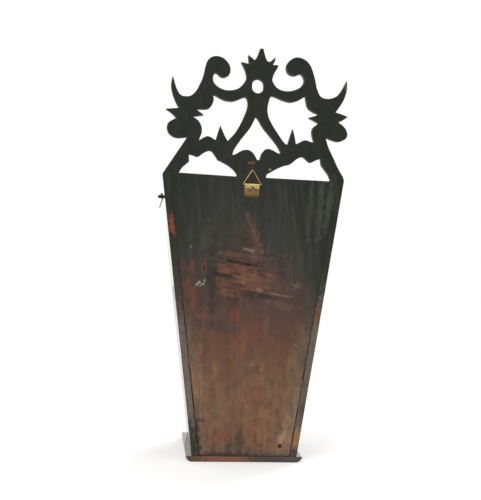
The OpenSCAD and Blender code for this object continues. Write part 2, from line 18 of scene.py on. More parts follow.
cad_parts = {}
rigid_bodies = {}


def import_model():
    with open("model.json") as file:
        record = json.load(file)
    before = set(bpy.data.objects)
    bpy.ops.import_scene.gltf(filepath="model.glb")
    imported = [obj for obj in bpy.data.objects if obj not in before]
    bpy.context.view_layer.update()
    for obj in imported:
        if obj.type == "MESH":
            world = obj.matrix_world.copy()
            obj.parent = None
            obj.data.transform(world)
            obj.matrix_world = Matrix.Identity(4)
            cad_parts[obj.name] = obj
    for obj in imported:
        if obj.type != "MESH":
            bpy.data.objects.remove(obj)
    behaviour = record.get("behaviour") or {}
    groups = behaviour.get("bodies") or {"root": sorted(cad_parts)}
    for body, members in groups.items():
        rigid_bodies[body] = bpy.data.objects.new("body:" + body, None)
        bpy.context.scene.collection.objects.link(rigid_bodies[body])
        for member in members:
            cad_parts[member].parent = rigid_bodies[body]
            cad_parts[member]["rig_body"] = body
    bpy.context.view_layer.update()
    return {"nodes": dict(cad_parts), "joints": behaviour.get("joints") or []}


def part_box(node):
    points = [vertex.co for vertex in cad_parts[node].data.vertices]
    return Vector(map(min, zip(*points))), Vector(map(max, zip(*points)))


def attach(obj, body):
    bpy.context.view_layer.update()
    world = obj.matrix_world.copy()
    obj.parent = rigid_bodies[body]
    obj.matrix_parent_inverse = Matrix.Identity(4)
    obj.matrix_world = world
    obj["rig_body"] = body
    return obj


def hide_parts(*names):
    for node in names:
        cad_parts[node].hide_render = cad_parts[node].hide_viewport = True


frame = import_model()
nodes = frame["nodes"]
MM = 0.001

# %% [markdown]
# ## The camera
# The photograph was taken from behind, a little to one side and a little below the middle of the box, with
# a short telephoto lens held slightly askew. The same view is set up by a position, a turn, a roll and a
# focal length. The lens is given for the longer side of the picture, which is its height.

# %% Camera
PICTURE_W, PICTURE_H = 481, 500
BACK_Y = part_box("back_board")[1].y
camera_place = Vector((0.1222, BACK_Y + 1.0, 0.2548))
camera_turn = math.radians(6.2)
camera_roll = math.radians(-2.04)
focal_px = 838
sensor_mm = 36

forward = Vector((-math.sin(camera_turn), -math.cos(camera_turn), 0))
level = Vector((-math.cos(camera_turn), math.sin(camera_turn), 0))
upward = Vector((0, 0, 1))
across = math.cos(camera_roll) * level - math.sin(camera_roll) * upward
above = math.sin(camera_roll) * level + math.cos(camera_roll) * upward

lens = bpy.data.cameras.new("photo_view")
lens.sensor_width = sensor_mm
lens.lens = focal_px / max(PICTURE_W, PICTURE_H) * sensor_mm
camera = bpy.data.objects.new("photo_view", lens)
camera_axes = Matrix((across, above, -forward)).transposed()
camera.matrix_world = Matrix.Translation(camera_place) @ camera_axes.to_4x4()
bpy.context.scene.collection.objects.link(camera)
bpy.context.scene.camera = camera
bpy.context.scene.view_settings.view_transform = "Standard"
print("lens", round(lens.lens, 1), "mm")

# %% [markdown]
# ## Nodes and colours
# Every finish below is a small network of nodes. One function adds a node, sets its properties and joins
# its inputs, so that a network reads as a list. Colours are written the way a paint program shows them,
# as hex values, and one function turns them into the linear numbers that the shader wants.

# %% Two helpers
def linear(hex_colour):
    """Linear colour of an sRGB hex value: below 0.04045 a straight line, above it a power of 2.4."""
    srgb = np.array([int(hex_colour[i:i + 2], 16) for i in (1, 3, 5)]) / 255
    parts = np.where(srgb <= 0.04045, srgb / 12.92, ((srgb + 0.055) / 1.055) ** 2.4)
    return (*parts.tolist(), 1.0)


def add(tree, kind, inputs=(), **settings):
    """One node with its settings. Inputs are given by name or in order. Each is a value to set, a socket to
    link, or a node whose first output in use is linked."""
    made = tree.nodes.new("ShaderNode" + kind)
    for name, value in settings.items():
        setattr(made, name, value)
    in_use = [socket for socket in made.inputs if socket.enabled]
    named = inputs if isinstance(inputs, dict) else dict(enumerate(inputs))
    for key, value in named.items():
        socket = in_use[key] if isinstance(key, int) else made.inputs[key]
        if isinstance(value, bpy.types.Node):
            value = next(out for out in value.outputs if out.enabled)
        if isinstance(value, bpy.types.NodeSocket):
            tree.links.new(value, socket)
        else:
            socket.default_value = value
    return made


print("half grey #808080 is", round(linear("#808080")[0], 3), "in linear light")

# %% [markdown]
# ## Floor
# The box stands on a plain white floor in front of nothing. The floor is dull white near the box, where it
# takes the shadow, and melts into the white of the background further out. A sheet that bends up behind the
# box would do as well for one view, but it would hide the box from the other side.

# %% Floor
floor_half = 4.0
shadow_ring = (0.25, 0.8)
floor_lift = 0.3
floor_mesh = bpy.data.meshes.new("floor")
corner = np.array([[-1, -1, 0], [1, -1, 0], [1, 1, 0], [-1, 1, 0]]) * floor_half
floor_mesh.from_pydata(corner.tolist(), [], [(0, 1, 2, 3)])
floor = bpy.data.objects.new("floor", floor_mesh)
bpy.context.scene.collection.objects.link(floor)

# Matt paper scatters light evenly, so only the shadow shows on it
paper = bpy.data.materials.new("matt_white_paper")
paper.use_nodes = True
tree = paper.node_tree
tree.nodes.clear()
place = add(tree, "TexCoord").outputs["Object"]
span = add(tree, "VectorMath", (place,), operation="LENGTH")
far = add(tree, "MapRange", (span, *shadow_ring), interpolation_type="SMOOTHSTEP")
by_camera = add(tree, "LightPath").outputs["Is Camera Ray"]
melted = add(tree, "Math", (far, by_camera), operation="MULTIPLY")
lift = add(tree, "Math", (by_camera, floor_lift), operation="MULTIPLY")
dull = add(tree, "BsdfDiffuse", {"Color": linear("#fafafa")})
glow = add(tree, "Emission", {"Color": linear("#ffffff"), "Strength": lift})
near_floor = add(tree, "AddShader", (dull, glow))
bright = add(tree, "Emission", {"Color": linear("#ffffff"), "Strength": 1.0})
add(tree, "OutputMaterial", {"Surface": add(tree, "MixShader", (melted, near_floor, bright))})
floor_mesh.materials.append(paper)
print("floor", 2 * floor_half, "m wide")

# %% [markdown]
# ## Light
# A white world gives even light from all round, and two wide lamps give it a direction. Together they are
# set so that a colour renders about as it is written. The camera and glossy surfaces see the world as plain
# white, whatever light it gives.

# %% World and lamps
world = bpy.data.worlds.new("white_studio")
bpy.context.scene.world = world
world.use_nodes = True
tree = world.node_tree
tree.nodes.clear()
ray = add(tree, "LightPath").outputs
shown = add(tree, "Math", (ray["Is Camera Ray"], ray["Is Glossy Ray"]), operation="MAXIMUM")
shown = add(tree, "Math", (shown, ray["Is Transmission Ray"]), operation="MAXIMUM")
sky_light = 0.62
sky = add(tree, "Background", {"Color": linear("#ffffff"), "Strength": sky_light})
white = add(tree, "Background", {"Color": linear("#ffffff"), "Strength": 1.0})
add(tree, "OutputWorld", {"Surface": add(tree, "MixShader", (shown, sky, white))})

lamp_size = 1.4
lamps = {"lamp_behind": ((1.3, 1.7, 1.5), 22), "lamp_in_front": ((-1.4, -1.7, 1.6), 22)}
box_middle = Vector((0, 0, 0.25))
for name, (spot, watts) in lamps.items():
    light = bpy.data.lights.new(name, "AREA")
    light.size = lamp_size
    light.energy = watts
    lamp = bpy.data.objects.new(name, light)
    lamp.location = spot
    lamp.rotation_euler = (box_middle - Vector(spot)).to_track_quat("-Z", "Y").to_euler()
    bpy.context.scene.collection.objects.link(lamp)
print("lamps", sorted(lamps), "and a sky of", sky_light)

# %% [markdown]
# ## Reading a board's outline
# A board is a flat shape with a thickness, so its outline says nearly everything about it. The outline is
# already in the loaded model: it is the rim of the triangles that face one way. Two triangles share every
# edge inside the face, so an edge that only one of them has is on the rim. Reading it there, rather than
# typing it again, keeps the dressed board where the construction is.

# %% Outlines of a flat face
SAME_PLACE = 0.01 * MM
FLATNESS = 0.02 * MM
SHORTEST_EDGE = 0.05 * MM
SHORTEST_OUTLINE = 3 * MM


def merged_triangles(node):
    """Points and triangles of a piece, with points that share a place made one."""
    mesh = nodes[node].data
    points = np.empty(len(mesh.vertices) * 3, np.float32)
    mesh.vertices.foreach_get("co", points)
    corners = np.empty(len(mesh.loops), np.int32)
    mesh.loops.foreach_get("vertex_index", corners)
    grid = np.round(points.reshape(-1, 3) / SAME_PLACE).astype(np.int64)
    first, index = np.unique(grid, axis=0, return_index=True, return_inverse=True)[1:]
    return points.reshape(-1, 3)[first].astype(float), index.reshape(-1)[corners].reshape(-1, 3)


def flat_outlines(node, facing):
    """Closed outlines of the outermost face in a direction, longest first, wood on the left."""
    points, triangles = merged_triangles(node)
    height = points @ (np.array(facing) / np.linalg.norm(facing))
    outermost = height > height.max() - FLATNESS
    face = triangles[outermost[triangles].all(1)]
    edges = np.concatenate([face[:, [0, 1]], face[:, [1, 2]], face[:, [2, 0]]])
    stride = len(points)
    rim = edges[~np.isin(edges[:, 0] * stride + edges[:, 1], edges[:, 1] * stride + edges[:, 0])]
    following = dict(rim.tolist())
    outlines = []
    while following:
        walk = [next(iter(following))]
        while walk[-1] in following:
            walk.append(following.pop(walk[-1]))
        ring = points[walk[:-1]]
        apart = np.linalg.norm(np.roll(ring, -1, axis=0) - ring, axis=1)
        outlines.append(ring[apart > SHORTEST_EDGE])
    real = [o for o in outlines if len_of_outline(o) > SHORTEST_OUTLINE]
    return sorted(real, key=len_of_outline, reverse=True)


def len_of_outline(outline):
    """Length all round a closed outline."""
    return np.linalg.norm(np.roll(outline, -1, axis=0) - outline, axis=1).sum()


back_outlines = flat_outlines("back_board", (0, 1, 0))
print("back board: outlines of", [round(len_of_outline(o) / MM) for o in back_outlines], "mm")

# %% [markdown]
# ## A smooth outline
# Fretwork is cut with a fine saw along a drawn line, so its curves are smooth and its points are sharp. The
# loaded outline is a chain of short straights. Cubic curves are laid through its points, and a point where
# the chain turns sharply stays a corner. Subdividing the mesh would round those corners as well.

# %% Smooth outline and inward direction
CORNER = math.radians(26)
LONG_EDGE = 8 * MM
LEAST_MITRE = 0.15
STEP = 1.4 * MM


def smoothed(outline, step):
    """Outline resampled by cubic curves: at a corner the curve leaves along the edge, elsewhere along the
    mean of the two edges, and beside a long straight it leaves along the straight. The curve is kept within
    the least and greatest values of the outline."""
    edge = np.roll(outline, -1, axis=0) - outline
    length = np.linalg.norm(edge, axis=1)
    ahead = edge / length[:, None]
    behind = np.roll(ahead, 1, axis=0)
    length_behind = np.roll(length, 1)
    corner = (ahead * behind).sum(1) < math.cos(CORNER)
    mean = behind * length[:, None] + ahead * length_behind[:, None]
    mean = np.where((length > LONG_EDGE)[:, None], ahead, mean)
    mean = np.where((length_behind > LONG_EDGE)[:, None], behind, mean)
    mean /= np.linalg.norm(mean, axis=1, keepdims=True)
    leaving = np.where(corner[:, None], ahead, mean)
    arriving = np.roll(np.where(corner[:, None], behind, mean), -1, axis=0)
    count = np.maximum(1, np.ceil(length / step)).astype(int)
    i = np.repeat(np.arange(len(outline)), count)
    t = (np.arange(len(i)) - np.repeat(np.cumsum(count) - count, count)) / count[i]
    t = t[:, None]
    end = np.roll(outline, -1, axis=0)
    curve = ((2 * t**3 - 3 * t**2 + 1) * outline[i] + (t**3 - 2 * t**2 + t) * leaving[i] * length[i, None]
             + (3 * t**2 - 2 * t**3) * end[i] + (t**3 - t**2) * arriving[i] * length[i, None])
    return curve.clip(outline.min(0), outline.max(0))


def inward(outline, facing):
    """Direction into the wood at each point: the mean of the two edges' left-hand normals, lengthened to
    the mitre at corners."""
    ahead = np.roll(outline, -1, axis=0) - outline
    ahead /= np.linalg.norm(ahead, axis=1, keepdims=True)
    left = np.cross(facing, ahead)
    left /= np.linalg.norm(left, axis=1, keepdims=True)
    before = np.roll(left, 1, axis=0)
    return (left + before) / (1 + (left * before).sum(1, keepdims=True)).clip(LEAST_MITRE)


print("outline of the back smoothed to", len(smoothed(back_outlines[0], STEP)), "points")

# %% [markdown]
# ## A board with worn edges
# A board that has been handled for two hundred years has no sharp edge left. The section of a worn edge is
# a quarter round, a straight sawn stretch and another quarter round. That section is carried along the
# outline. The round is smaller where the wood is narrow: the ball that touches the outline at a point and
# just reaches the far side of the wood there sets the limit. A bevel tool would do for plain boards, but it
# folds over itself in the thin points of fretwork.

# %% Worn radius
JUST_AHEAD = 1e-6
SLICE = 2000


def squared_distances(points, others):
    """Every point's squared distance to every other point: p.p + q.q - 2 p.q, as one matrix product."""
    return (points**2).sum(1)[:, None] + (others**2).sum(1)[None] - 2 * points @ others.T


def room(points, direction, others):
    """Radius of the largest ball that touches each point from inside and reaches no other point: the least
    of distance squared over twice the distance along the inward direction."""
    along = direction @ others.T - (direction * points).sum(1)[:, None]
    ball = squared_distances(points, others) / (2 * np.where(along > JUST_AHEAD, along, np.inf))
    return np.where(along > JUST_AHEAD, ball, np.inf).min(1)


def nearest(points, others):
    """Distance from each point to the nearest of the others, worked out in slices to spare memory."""
    slices = np.array_split(points, len(points) // SLICE + 1)
    return np.sqrt(np.concatenate([squared_distances(part, others).min(1) for part in slices]).clip(0))


def uneven(s, wave, share, turn=0.0):
    """A slow uneven swell along a length s: two sines of wavelengths that don't divide each other."""
    slow = np.sin(2 * np.pi * s / wave + turn)
    quick = np.sin(2 * np.pi * s / (0.37 * wave) + 2 * turn)
    return 1 + share * (0.6 * slow + 0.4 * quick)


def walked(outline):
    """Distance walked along an outline to each point."""
    return np.concatenate([[0], np.cumsum(np.linalg.norm(np.diff(outline, axis=0), axis=1))])


print("the walk to the last point of the back's outline is", round(walked(back_outlines[0])[-1] / MM), "mm")

# %% [markdown]
# ## Filling a flat face
# The two flat faces of a board are filled by a triangulation that keeps the outlines and adds an even
# sprinkle of points between them. One many-sided face would be less work, but a face can't have holes in it,
# and the crest is pierced. The sprinkled points have a use later too: each holds its distance from the
# nearest edge.

# %% Strips and fillings
LEVEL = 1e-12
INSIDE_WITH_HOLES = 2
TOUCHING = 1e-7


def strip_faces(rows, columns):
    """Four-sided faces of a grid that closes on itself along its columns."""
    r, c = np.meshgrid(np.arange(rows - 1), np.arange(columns), indexing="ij")
    n = (c + 1) % columns
    this_row, next_row = r * columns, (r + 1) * columns
    return np.stack([this_row + c, this_row + n, next_row + n, next_row + c], -1).reshape(-1, 4)


def inside(points, starts, ends):
    """True where a ray to the right crosses the edges an odd number of times."""
    tall = np.where(ends[:, 1] == starts[:, 1], LEVEL, ends[:, 1] - starts[:, 1])
    lean = (ends[:, 0] - starts[:, 0]) / tall
    odd = []
    for part in np.array_split(points, len(points) // SLICE + 1):
        spans = (starts[None, :, 1] > part[:, 1:]) != (ends[None, :, 1] > part[:, 1:])
        right = part[:, :1] < starts[None, :, 0] + lean * (part[:, 1:] - starts[None, :, 1])
        odd.append((spans & right).sum(1) % 2 == 1)
    return np.concatenate(odd)


def filled(rims, facing, spacing):
    """Points and triangles of the flat shape inside the rims: a triangulation of the rims and of a grid of
    points that keep half a spacing away from them."""
    facing = np.array(facing) / np.linalg.norm(facing)
    e2 = np.array([0, 0, 1.0]) - facing * facing[2]
    e2 /= np.linalg.norm(e2)
    e1 = np.cross(e2, facing)
    origin = rims[0][0]
    flat = [np.stack([(r - origin) @ e1, (r - origin) @ e2], 1) for r in rims]
    rim = np.concatenate(flat)
    low, high = rim.min(0), rim.max(0)
    u, v = np.meshgrid(np.arange(low[0], high[0], spacing), np.arange(low[1], high[1], spacing))
    sprinkle = np.stack([u + 0.5 * spacing * (np.round((v - low[1]) / spacing) % 2), v], -1).reshape(-1, 2)
    sprinkle = sprinkle[nearest(sprinkle, rim) > 0.5 * spacing]
    starts = np.cumsum([0] + [len(f) for f in flat])
    edges = [(int(a + i), int(a + (i + 1) % len(f))) for a, f in zip(starts, flat) for i in range(len(f))]
    every = [Vector(p) for p in np.concatenate([rim, sprinkle]).tolist()]
    corners, _, faces, *_ = delaunay_2d_cdt(every, edges, [], INSIDE_WITH_HOLES, TOUCHING)
    corners, faces = np.array([tuple(p) for p in corners]), np.array(faces)
    ends = np.concatenate([np.roll(f, -1, axis=0) for f in flat])
    faces = faces[inside(corners[faces].mean(1), rim, ends)]
    return origin + corners[:, :1] * e1 + corners[:, 1:] * e2, faces


print("a closed strip of 2 rows and 12 columns has", len(strip_faces(2, 12)), "faces")

# %% [markdown]
# ## From arrays to a piece
# An array of points and one of faces become a mesh in one step. Strips and fillings that share a rim are
# merged there, and the normals are worked out again so that every face points outwards. The piece then rides
# on the body that it belongs to.

# %% Making a piece
MERGED = 0.001 * MM


def make_piece(name, parts, body):
    """A mesh object from lists of points and faces, with touching points merged, riding on a body."""
    mesh = bpy.data.meshes.new(name)
    points, faces, start = [], [], 0
    for part_points, part_faces in parts:
        points.append(part_points.reshape(-1, 3))
        faces += (part_faces + start).tolist()
        start += len(points[-1])
    mesh.from_pydata(np.concatenate(points).tolist(), [], faces)
    work = bmesh.new()
    work.from_mesh(mesh)
    bmesh.ops.remove_doubles(work, verts=work.verts, dist=MERGED)
    bmesh.ops.recalc_face_normals(work, faces=work.faces)
    work.to_mesh(mesh)
    work.free()
    mesh.shade_smooth()
    piece = bpy.data.objects.new(name, mesh)
    bpy.context.scene.collection.objects.link(piece)
    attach(piece, body)
    return piece


def points_of(piece):
    """The piece's points as an N by 3 array."""
    points = np.empty(len(piece.data.vertices) * 3, np.float32)
    piece.data.vertices.foreach_get("co", points)
    return points.reshape(-1, 3).astype(float)


print("points within", MERGED / MM, "mm of each other become one")

# %% [markdown]
# ## The board
# The worn section is carried along every outline of the outer face, and the two flat faces are filled. Each
# point keeps its distance from the nearest edge as an attribute, which the finishes use for rubbed edges. A
# hole that doesn't go through gets a short wall and a floor instead of a second rim. The fibres spring back
# over a nail that was punched in, so its hole is drawn narrower than its head.

# %% The board function
quarter = np.linspace(0, np.pi / 2, 5)
FACE = 0.97
SPACING = 3 * MM
NAIL_HOLE = 0.5
HOLE_DEPTH = 1.2 * MM
HOLE_MATCH = 0.5 * MM
STOPPED_REACH = 2 * MM
WEAR_WAVE = 70 * MM
WEAR_SWELL = 0.45
ROOM_SHARE = 0.8


def middle_of(outline):
    """Middle of the box round an outline: half the sum of its least and greatest values."""
    return (outline.min(0) + outline.max(0)) / 2


def board(node, facing, through, wear, spacing=SPACING, step=STEP, tilt_far=None, stopped=None):
    """A board from the outlines of its outer face. through is the vector from that face to the other one.
    The section is r(1 - sin a) inwards and r(1 - cos a) deep for a quarter turn, a straight wall, and the
    same quarter turn mirrored. tilt_far moves points of the far rim where the board's edge is cut askew.
    A nail hole round the place stopped is filled flush with wax, so it gets no rim."""
    facing = np.array(facing, float) / np.linalg.norm(facing)
    through = np.array(through, float)
    thick = np.linalg.norm(through)
    outlines = [smoothed(o, step) for o in flat_outlines(node, facing)]
    if stopped:
        outlines = [o for o in outlines if np.linalg.norm(middle_of(o) - stopped) > STOPPED_REACH]
    far_middles = np.array([middle_of(o) for o in flat_outlines(node, -facing)])
    every = np.concatenate(outlines)
    parts, near_rims, far_rims, far_edges = [], [], [], []
    for k, path in enumerate(outlines):
        middle = middle_of(path)
        goes_through = k == 0 or np.linalg.norm(far_middles - middle - through, axis=1).min() < HOLE_MATCH
        if not goes_through:
            path = middle + NAIL_HOLE * (path - middle)
        into = inward(path, facing)
        s = walked(path)
        radius = wear * uneven(s, WEAR_WAVE, WEAR_SWELL, k)
        straight_in = into / np.linalg.norm(into, axis=1, keepdims=True)
        radius = np.minimum(radius, ROOM_SHARE * room(path, straight_in, every))
        inset = (1 - np.sin(quarter))[:, None] * radius
        depth = (1 - np.cos(quarter))[:, None] * radius / thick
        if goes_through:
            share = np.linspace(0, 1, 5)[1:-1, None]
            wall = depth[-1] * (1 - share) + (1 - depth[-1]) * share
            inset = np.concatenate([inset, 0 * wall, inset[::-1]])
            depth = np.concatenate([depth, wall, 1 - depth[::-1]])
        else:
            inset = np.concatenate([inset, inset[-1:]])
            depth = np.concatenate([depth, 0 * radius[None] + HOLE_DEPTH / thick])
        span = through + tilt_far(path) if tilt_far and k == 0 else through
        rows = path + inset[..., None] * into + depth[..., None] * span
        parts.append((rows, strip_faces(len(rows), len(path))))
        near_rims.append(rows[0])
        if goes_through:
            far_rims.append(rows[-1])
            far_edges.append(path + span)
        else:
            parts.append((rows[-1], np.arange(len(path))[None]))
    parts.append(filled(near_rims, facing, spacing))
    parts.append(filled(far_rims, facing, spacing))
    piece = make_piece(node + "_worn", parts, nodes[node]["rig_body"])
    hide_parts(node)
    normals = np.empty(len(piece.data.polygons) * 3, np.float32)
    piece.data.polygons.foreach_get("normal", normals)
    looks = normals.reshape(-1, 3) @ facing
    side = np.where(looks > FACE, 0, np.where(looks < -FACE, 2, 1)).astype(np.int32)
    piece.data.polygons.foreach_set("material_index", side)
    near = nearest(points_of(piece), np.concatenate([every, *far_edges]))
    distance = piece.data.attributes.new("edge_mm", "FLOAT", "POINT")
    distance.data.foreach_set("value", (near / MM).astype(np.float32))
    return piece


print("a nail hole is drawn", HOLE_DEPTH / MM, "mm deep")

# %% [markdown]
# ## The boards of the case
# The back is one board with the crest sawn in its upper end. The two sides lie beside it, and the front
# closes the case, its top edge cut to the slope of the lid. Where each board looks and how thick it is comes
# from the loaded model. The back is worn least, because it hung against a wall, and the front most. The
# second nail in the back was stopped flush with wax, so no hole is drawn for it.

# %% Boards of the case
ROUGHLY = 0.9
BACKWARDS = 0.3
wide_spacing = 6 * MM
wear_back, wear_side, wear_front = 0.55 * MM, 0.6 * MM, 0.8 * MM


def main_facing(node, roughly):
    """Direction of the largest triangle that looks roughly one way."""
    points, triangles = merged_triangles(node)
    a, b, c = points[triangles].transpose(1, 0, 2)
    normal = np.cross(b - a, c - a)
    size = np.linalg.norm(normal, axis=1)
    looks = normal @ np.array(roughly, float) > ROUGHLY * size
    largest = np.argmax(np.where(looks, size, 0))
    return normal[largest] / size[largest]


def thickness(node, facing, along):
    """Vector along a direction from the outer face of a board to its other face."""
    near = flat_outlines(node, facing)[0][0] @ facing
    far = flat_outlines(node, -facing)[0][0] @ facing
    along = np.array(along, float)
    return along * (far - near) / (along @ facing)


def raised_rim(path):
    """The top edge of the front board is cut to the slope of the lid, so the far rim stands higher there."""
    inner = flat_outlines("front_board", (0, 1, 0))[0]
    top = path[:, 2] > path[:, 2].max() - SAME_PLACE
    rise = inner[:, 2].max() - path[:, 2].max()
    spread = np.abs(inner[:, 0]).max() - np.abs(path[:, 0]).max()
    return np.stack([top * np.sign(path[:, 0]) * spread * (np.abs(path[:, 0]) / np.abs(path[:, 0]).max()),
                     0 * top, top * rise], 1)


back_facing = np.array([0.0, 1, 0])
nails_low, nails_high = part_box("back_nails")
stopped_nail = (nails_high.x - (nails_high.z - nails_low.z) / 2, BACK_Y, (nails_low.z + nails_high.z) / 2)
back = board("back_board", back_facing, thickness("back_board", back_facing, (0, 1, 0)), wear_back,
             stopped=stopped_nail)
boards = {"back_board": back}
for node, sign in {"left_side": -1, "right_side": 1}.items():
    out = main_facing(node, (sign, 0, 0))
    boards[node] = board(node, out, thickness(node, out, (1, 0, 0)), wear_side, spacing=wide_spacing)
    for face in boards[node].data.polygons:
        if face.material_index == 1 and face.normal.y < BACKWARDS:
            face.material_index = 3
front_facing = np.array([0.0, -1, 0])
boards["front_board"] = board("front_board", front_facing, thickness("front_board", front_facing, (0, 1, 0)),
                              wear_front, spacing=wide_spacing, tilt_far=raised_rim)
for node, piece in boards.items():
    print(node, "has", len(piece.data.polygons), "faces")

# %% [markdown]
# ## Lid, base, divider and blocks
# These pieces have the right shape already: a lid with rounded long edges, a base with a rounded
# under-edge. Only their sharp corners need easing. A merged copy of the piece gets a Bevel modifier for
# that, which also gives the eased edge a material of its own, for rubbed polish. The rims of nail holes and
# pin bores stay crisp. They are drawn with very short edges, so the length of an edge tells them apart.

# %% Eased copies
FLAT = math.radians(0.4)
SHARP = math.radians(40)
HOLE_EDGE = 0.3 * MM
UNDERSIDE_AREA = 0.002
DOWNWARDS = -0.5
TO_THE_BACK = 0.9


def eased(node, width):
    """Merged copy of a piece, flat triangles joined to whole faces, with its long sharp edges bevelled."""
    points, triangles = merged_triangles(node)
    mesh = bpy.data.meshes.new(node + "_eased")
    mesh.from_pydata(points.tolist(), [], triangles.tolist())
    work = bmesh.new()
    work.from_mesh(mesh)
    bmesh.ops.dissolve_limit(work, angle_limit=FLAT, verts=work.verts, edges=work.edges)
    weight = work.edges.layers.float.new("bevel_weight_edge")
    for edge in work.edges:
        if edge.calc_face_angle(0) > SHARP:
            edge.smooth = edge.calc_length() > HOLE_EDGE
            edge[weight] = edge.smooth
    work.to_mesh(mesh)
    work.free()
    mesh.shade_smooth()
    for face in mesh.polygons:
        if face.normal.z < DOWNWARDS and face.area > UNDERSIDE_AREA:
            face.material_index = 2
        if face.normal.y > TO_THE_BACK:
            face.material_index = 3
    piece = bpy.data.objects.new(node + "_eased", mesh)
    bpy.context.scene.collection.objects.link(piece)
    ease = piece.modifiers.new("eased_edges", "BEVEL")
    ease.width = width
    ease.segments = 3
    ease.limit_method = "WEIGHT"
    ease.harden_normals = True
    ease.material = 1
    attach(piece, nodes[node]["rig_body"])
    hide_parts(node)
    return piece


eased_mm = {"lid_board": 0.7, "base_board": 0.5, "divider": 0.5,
            "left_corner_block": 0.4, "right_corner_block": 0.4}
for node, width in eased_mm.items():
    boards[node] = eased(node, width * MM)
    print(boards[node].name, len(boards[node].data.polygons), "faces before the bevel")

# %% [markdown]
# ## Bent wire
# The hanging loop is one piece of brass wire bent to a triangle, and the keeper is iron wire wound round
# the lid pin with its tail left loose. Both are a circle carried along a path. The circle is kept square to
# the path by two directions: one is a fixed direction with its part along the path taken away, the other is
# square to both. A curve with a bevel depth would look the same, but the array shows how it works.

# %% Wire
BEND_POINTS = 9


def wire(path, radius, beside, sides=12, closed=False):
    """A circle carried along a path. beside is a direction that the path never follows. The ends of an
    open wire are rounded by circles that shrink as a quarter turn does."""
    radii = np.full(len(path), radius)
    if not closed:
        first, last = path[0] - path[1], path[-1] - path[-2]
        turn = quarter[1:, None]
        cap = radius * np.sin(turn)
        path = np.concatenate([(path[0] + first / np.linalg.norm(first) * cap)[::-1], path,
                               path[-1] + last / np.linalg.norm(last) * cap])
        shrink = (radius * np.cos(turn)).ravel()
        radii = np.concatenate([shrink[::-1], radii, shrink])
    tangent = np.roll(path, -1, axis=0) - np.roll(path, 1, axis=0)
    if not closed:
        tangent[0], tangent[-1] = path[1] - path[0], path[-1] - path[-2]
    tangent /= np.linalg.norm(tangent, axis=1, keepdims=True)
    one = np.array(beside, float) - (tangent @ np.array(beside, float))[:, None] * tangent
    one /= np.linalg.norm(one, axis=1, keepdims=True)
    two = np.cross(tangent, one)
    angle = np.linspace(0, 2 * np.pi, sides, endpoint=False)[:, None]
    circle = one[:, None] * np.cos(angle) + two[:, None] * np.sin(angle)
    rings = path[:, None] + radii[:, None, None] * circle
    faces = strip_faces(len(path), sides)
    if closed:
        last_ring = (len(path) - 1) * sides
        c = np.arange(sides)
        n = (c + 1) % sides
        faces = np.concatenate([faces, np.stack([last_ring + c, last_ring + n, n, c], 1)])
    return rings, faces


def bent(corners, trim):
    """Closed path through corners, each rounded by a quadratic curve that starts and ends a trim away."""
    before, after = np.roll(corners, 1, axis=0) - corners, np.roll(corners, -1, axis=0) - corners
    start = corners + before / np.linalg.norm(before, axis=1, keepdims=True) * trim[:, None]
    end = corners + after / np.linalg.norm(after, axis=1, keepdims=True) * trim[:, None]
    t = np.linspace(0, 1, BEND_POINTS)[None, :, None]
    curve = (1 - t)**2 * start[:, None] + 2 * t * (1 - t) * corners[:, None] + t**2 * end[:, None]
    return curve.reshape(-1, 3)


print("a bend is drawn with", BEND_POINTS, "points")

# %% [markdown]
# ## The hanging loop
# The loop is a triangle of brass wire whose foot lies in the rolled top of the plate. Its corners are those
# of the loaded model, half a wire further in. Each is rounded by a short curve, because wire can't be bent to
# a sharp corner. The wire function then gives it its thickness.

# %% Hanging loop
low, high = (np.array(c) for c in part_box("hanger_bail"))
bail_radius = (high[1] - low[1]) / 2
foot_left, foot_right = low + bail_radius, high - bail_radius
bail_y = (low[1] + high[1]) / 2
bail_corners = np.array([[foot_left[0], bail_y, foot_left[2]], [foot_right[0], bail_y, foot_left[2]],
                         [(low[0] + high[0]) / 2, bail_y, foot_right[2]]])
bend_reach = np.array([1.6, 1.6, 2.2]) * MM
bail_path = bent(bail_corners, bend_reach)
bail_wire = wire(bail_path, bail_radius, (0, 1, 0), closed=True)
bail = make_piece("hanging_loop", [bail_wire], "bail")
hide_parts("hanger_bail")
print("hanging loop of", round(len_of_outline(bail_path) / MM), "mm of wire")

# %% [markdown]
# ## The keeper
# The keeper stops the lid pin from slipping out of its bore. It is soft iron wire, wound not quite twice
# round the end of the pin, with its tail left hanging. The winding is a screw line: it goes round with an
# angle, and along the pin by one pitch for each turn. The tail is a straight line that bulges by half a sine
# wave. The wire function serves again, so both wires are made in one way.

# %% Keeper
keeper_low, keeper_high = (np.array(c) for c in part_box("pin_keeper"))
keeper_wire = 0.55 * MM
loop_radius = (keeper_high[1] - keeper_low[1]) / 2 - keeper_wire
loop_y = (keeper_low[1] + keeper_high[1]) / 2
loop_z = keeper_high[2] - keeper_wire - loop_radius
loop_turns, loop_pitch = 1.75, 1.25 * MM
angle = np.linspace(-0.5 * np.pi, (2 * loop_turns - 0.5) * np.pi, 60)
loop_x = keeper_low[0] + keeper_wire + loop_pitch * (angle - angle[0]) / (2 * np.pi)
coil = np.stack([loop_x, loop_y + loop_radius * np.cos(angle), loop_z + loop_radius * np.sin(angle)], 1)
tail_inset, tail_rise, tail_bulge = 1.0 * MM, 0.8 * MM, 1.2 * MM
tail_end = np.array([keeper_high[0] - tail_inset, loop_y, keeper_low[2] + tail_rise])
t = np.linspace(0, 1, 14)[1:, None]
tail = coil[0] + (tail_end - coil[0]) * t + np.array([0, tail_bulge, 0]) * np.sin(np.pi * t)
path = np.concatenate([tail[::-1], coil])
keeper = make_piece("wire_keeper", [wire(path, keeper_wire, (1, 0.2, 0))], "lid")
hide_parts("pin_keeper")
print("keeper of", round(walked(path)[-1] / MM), "mm of wire")

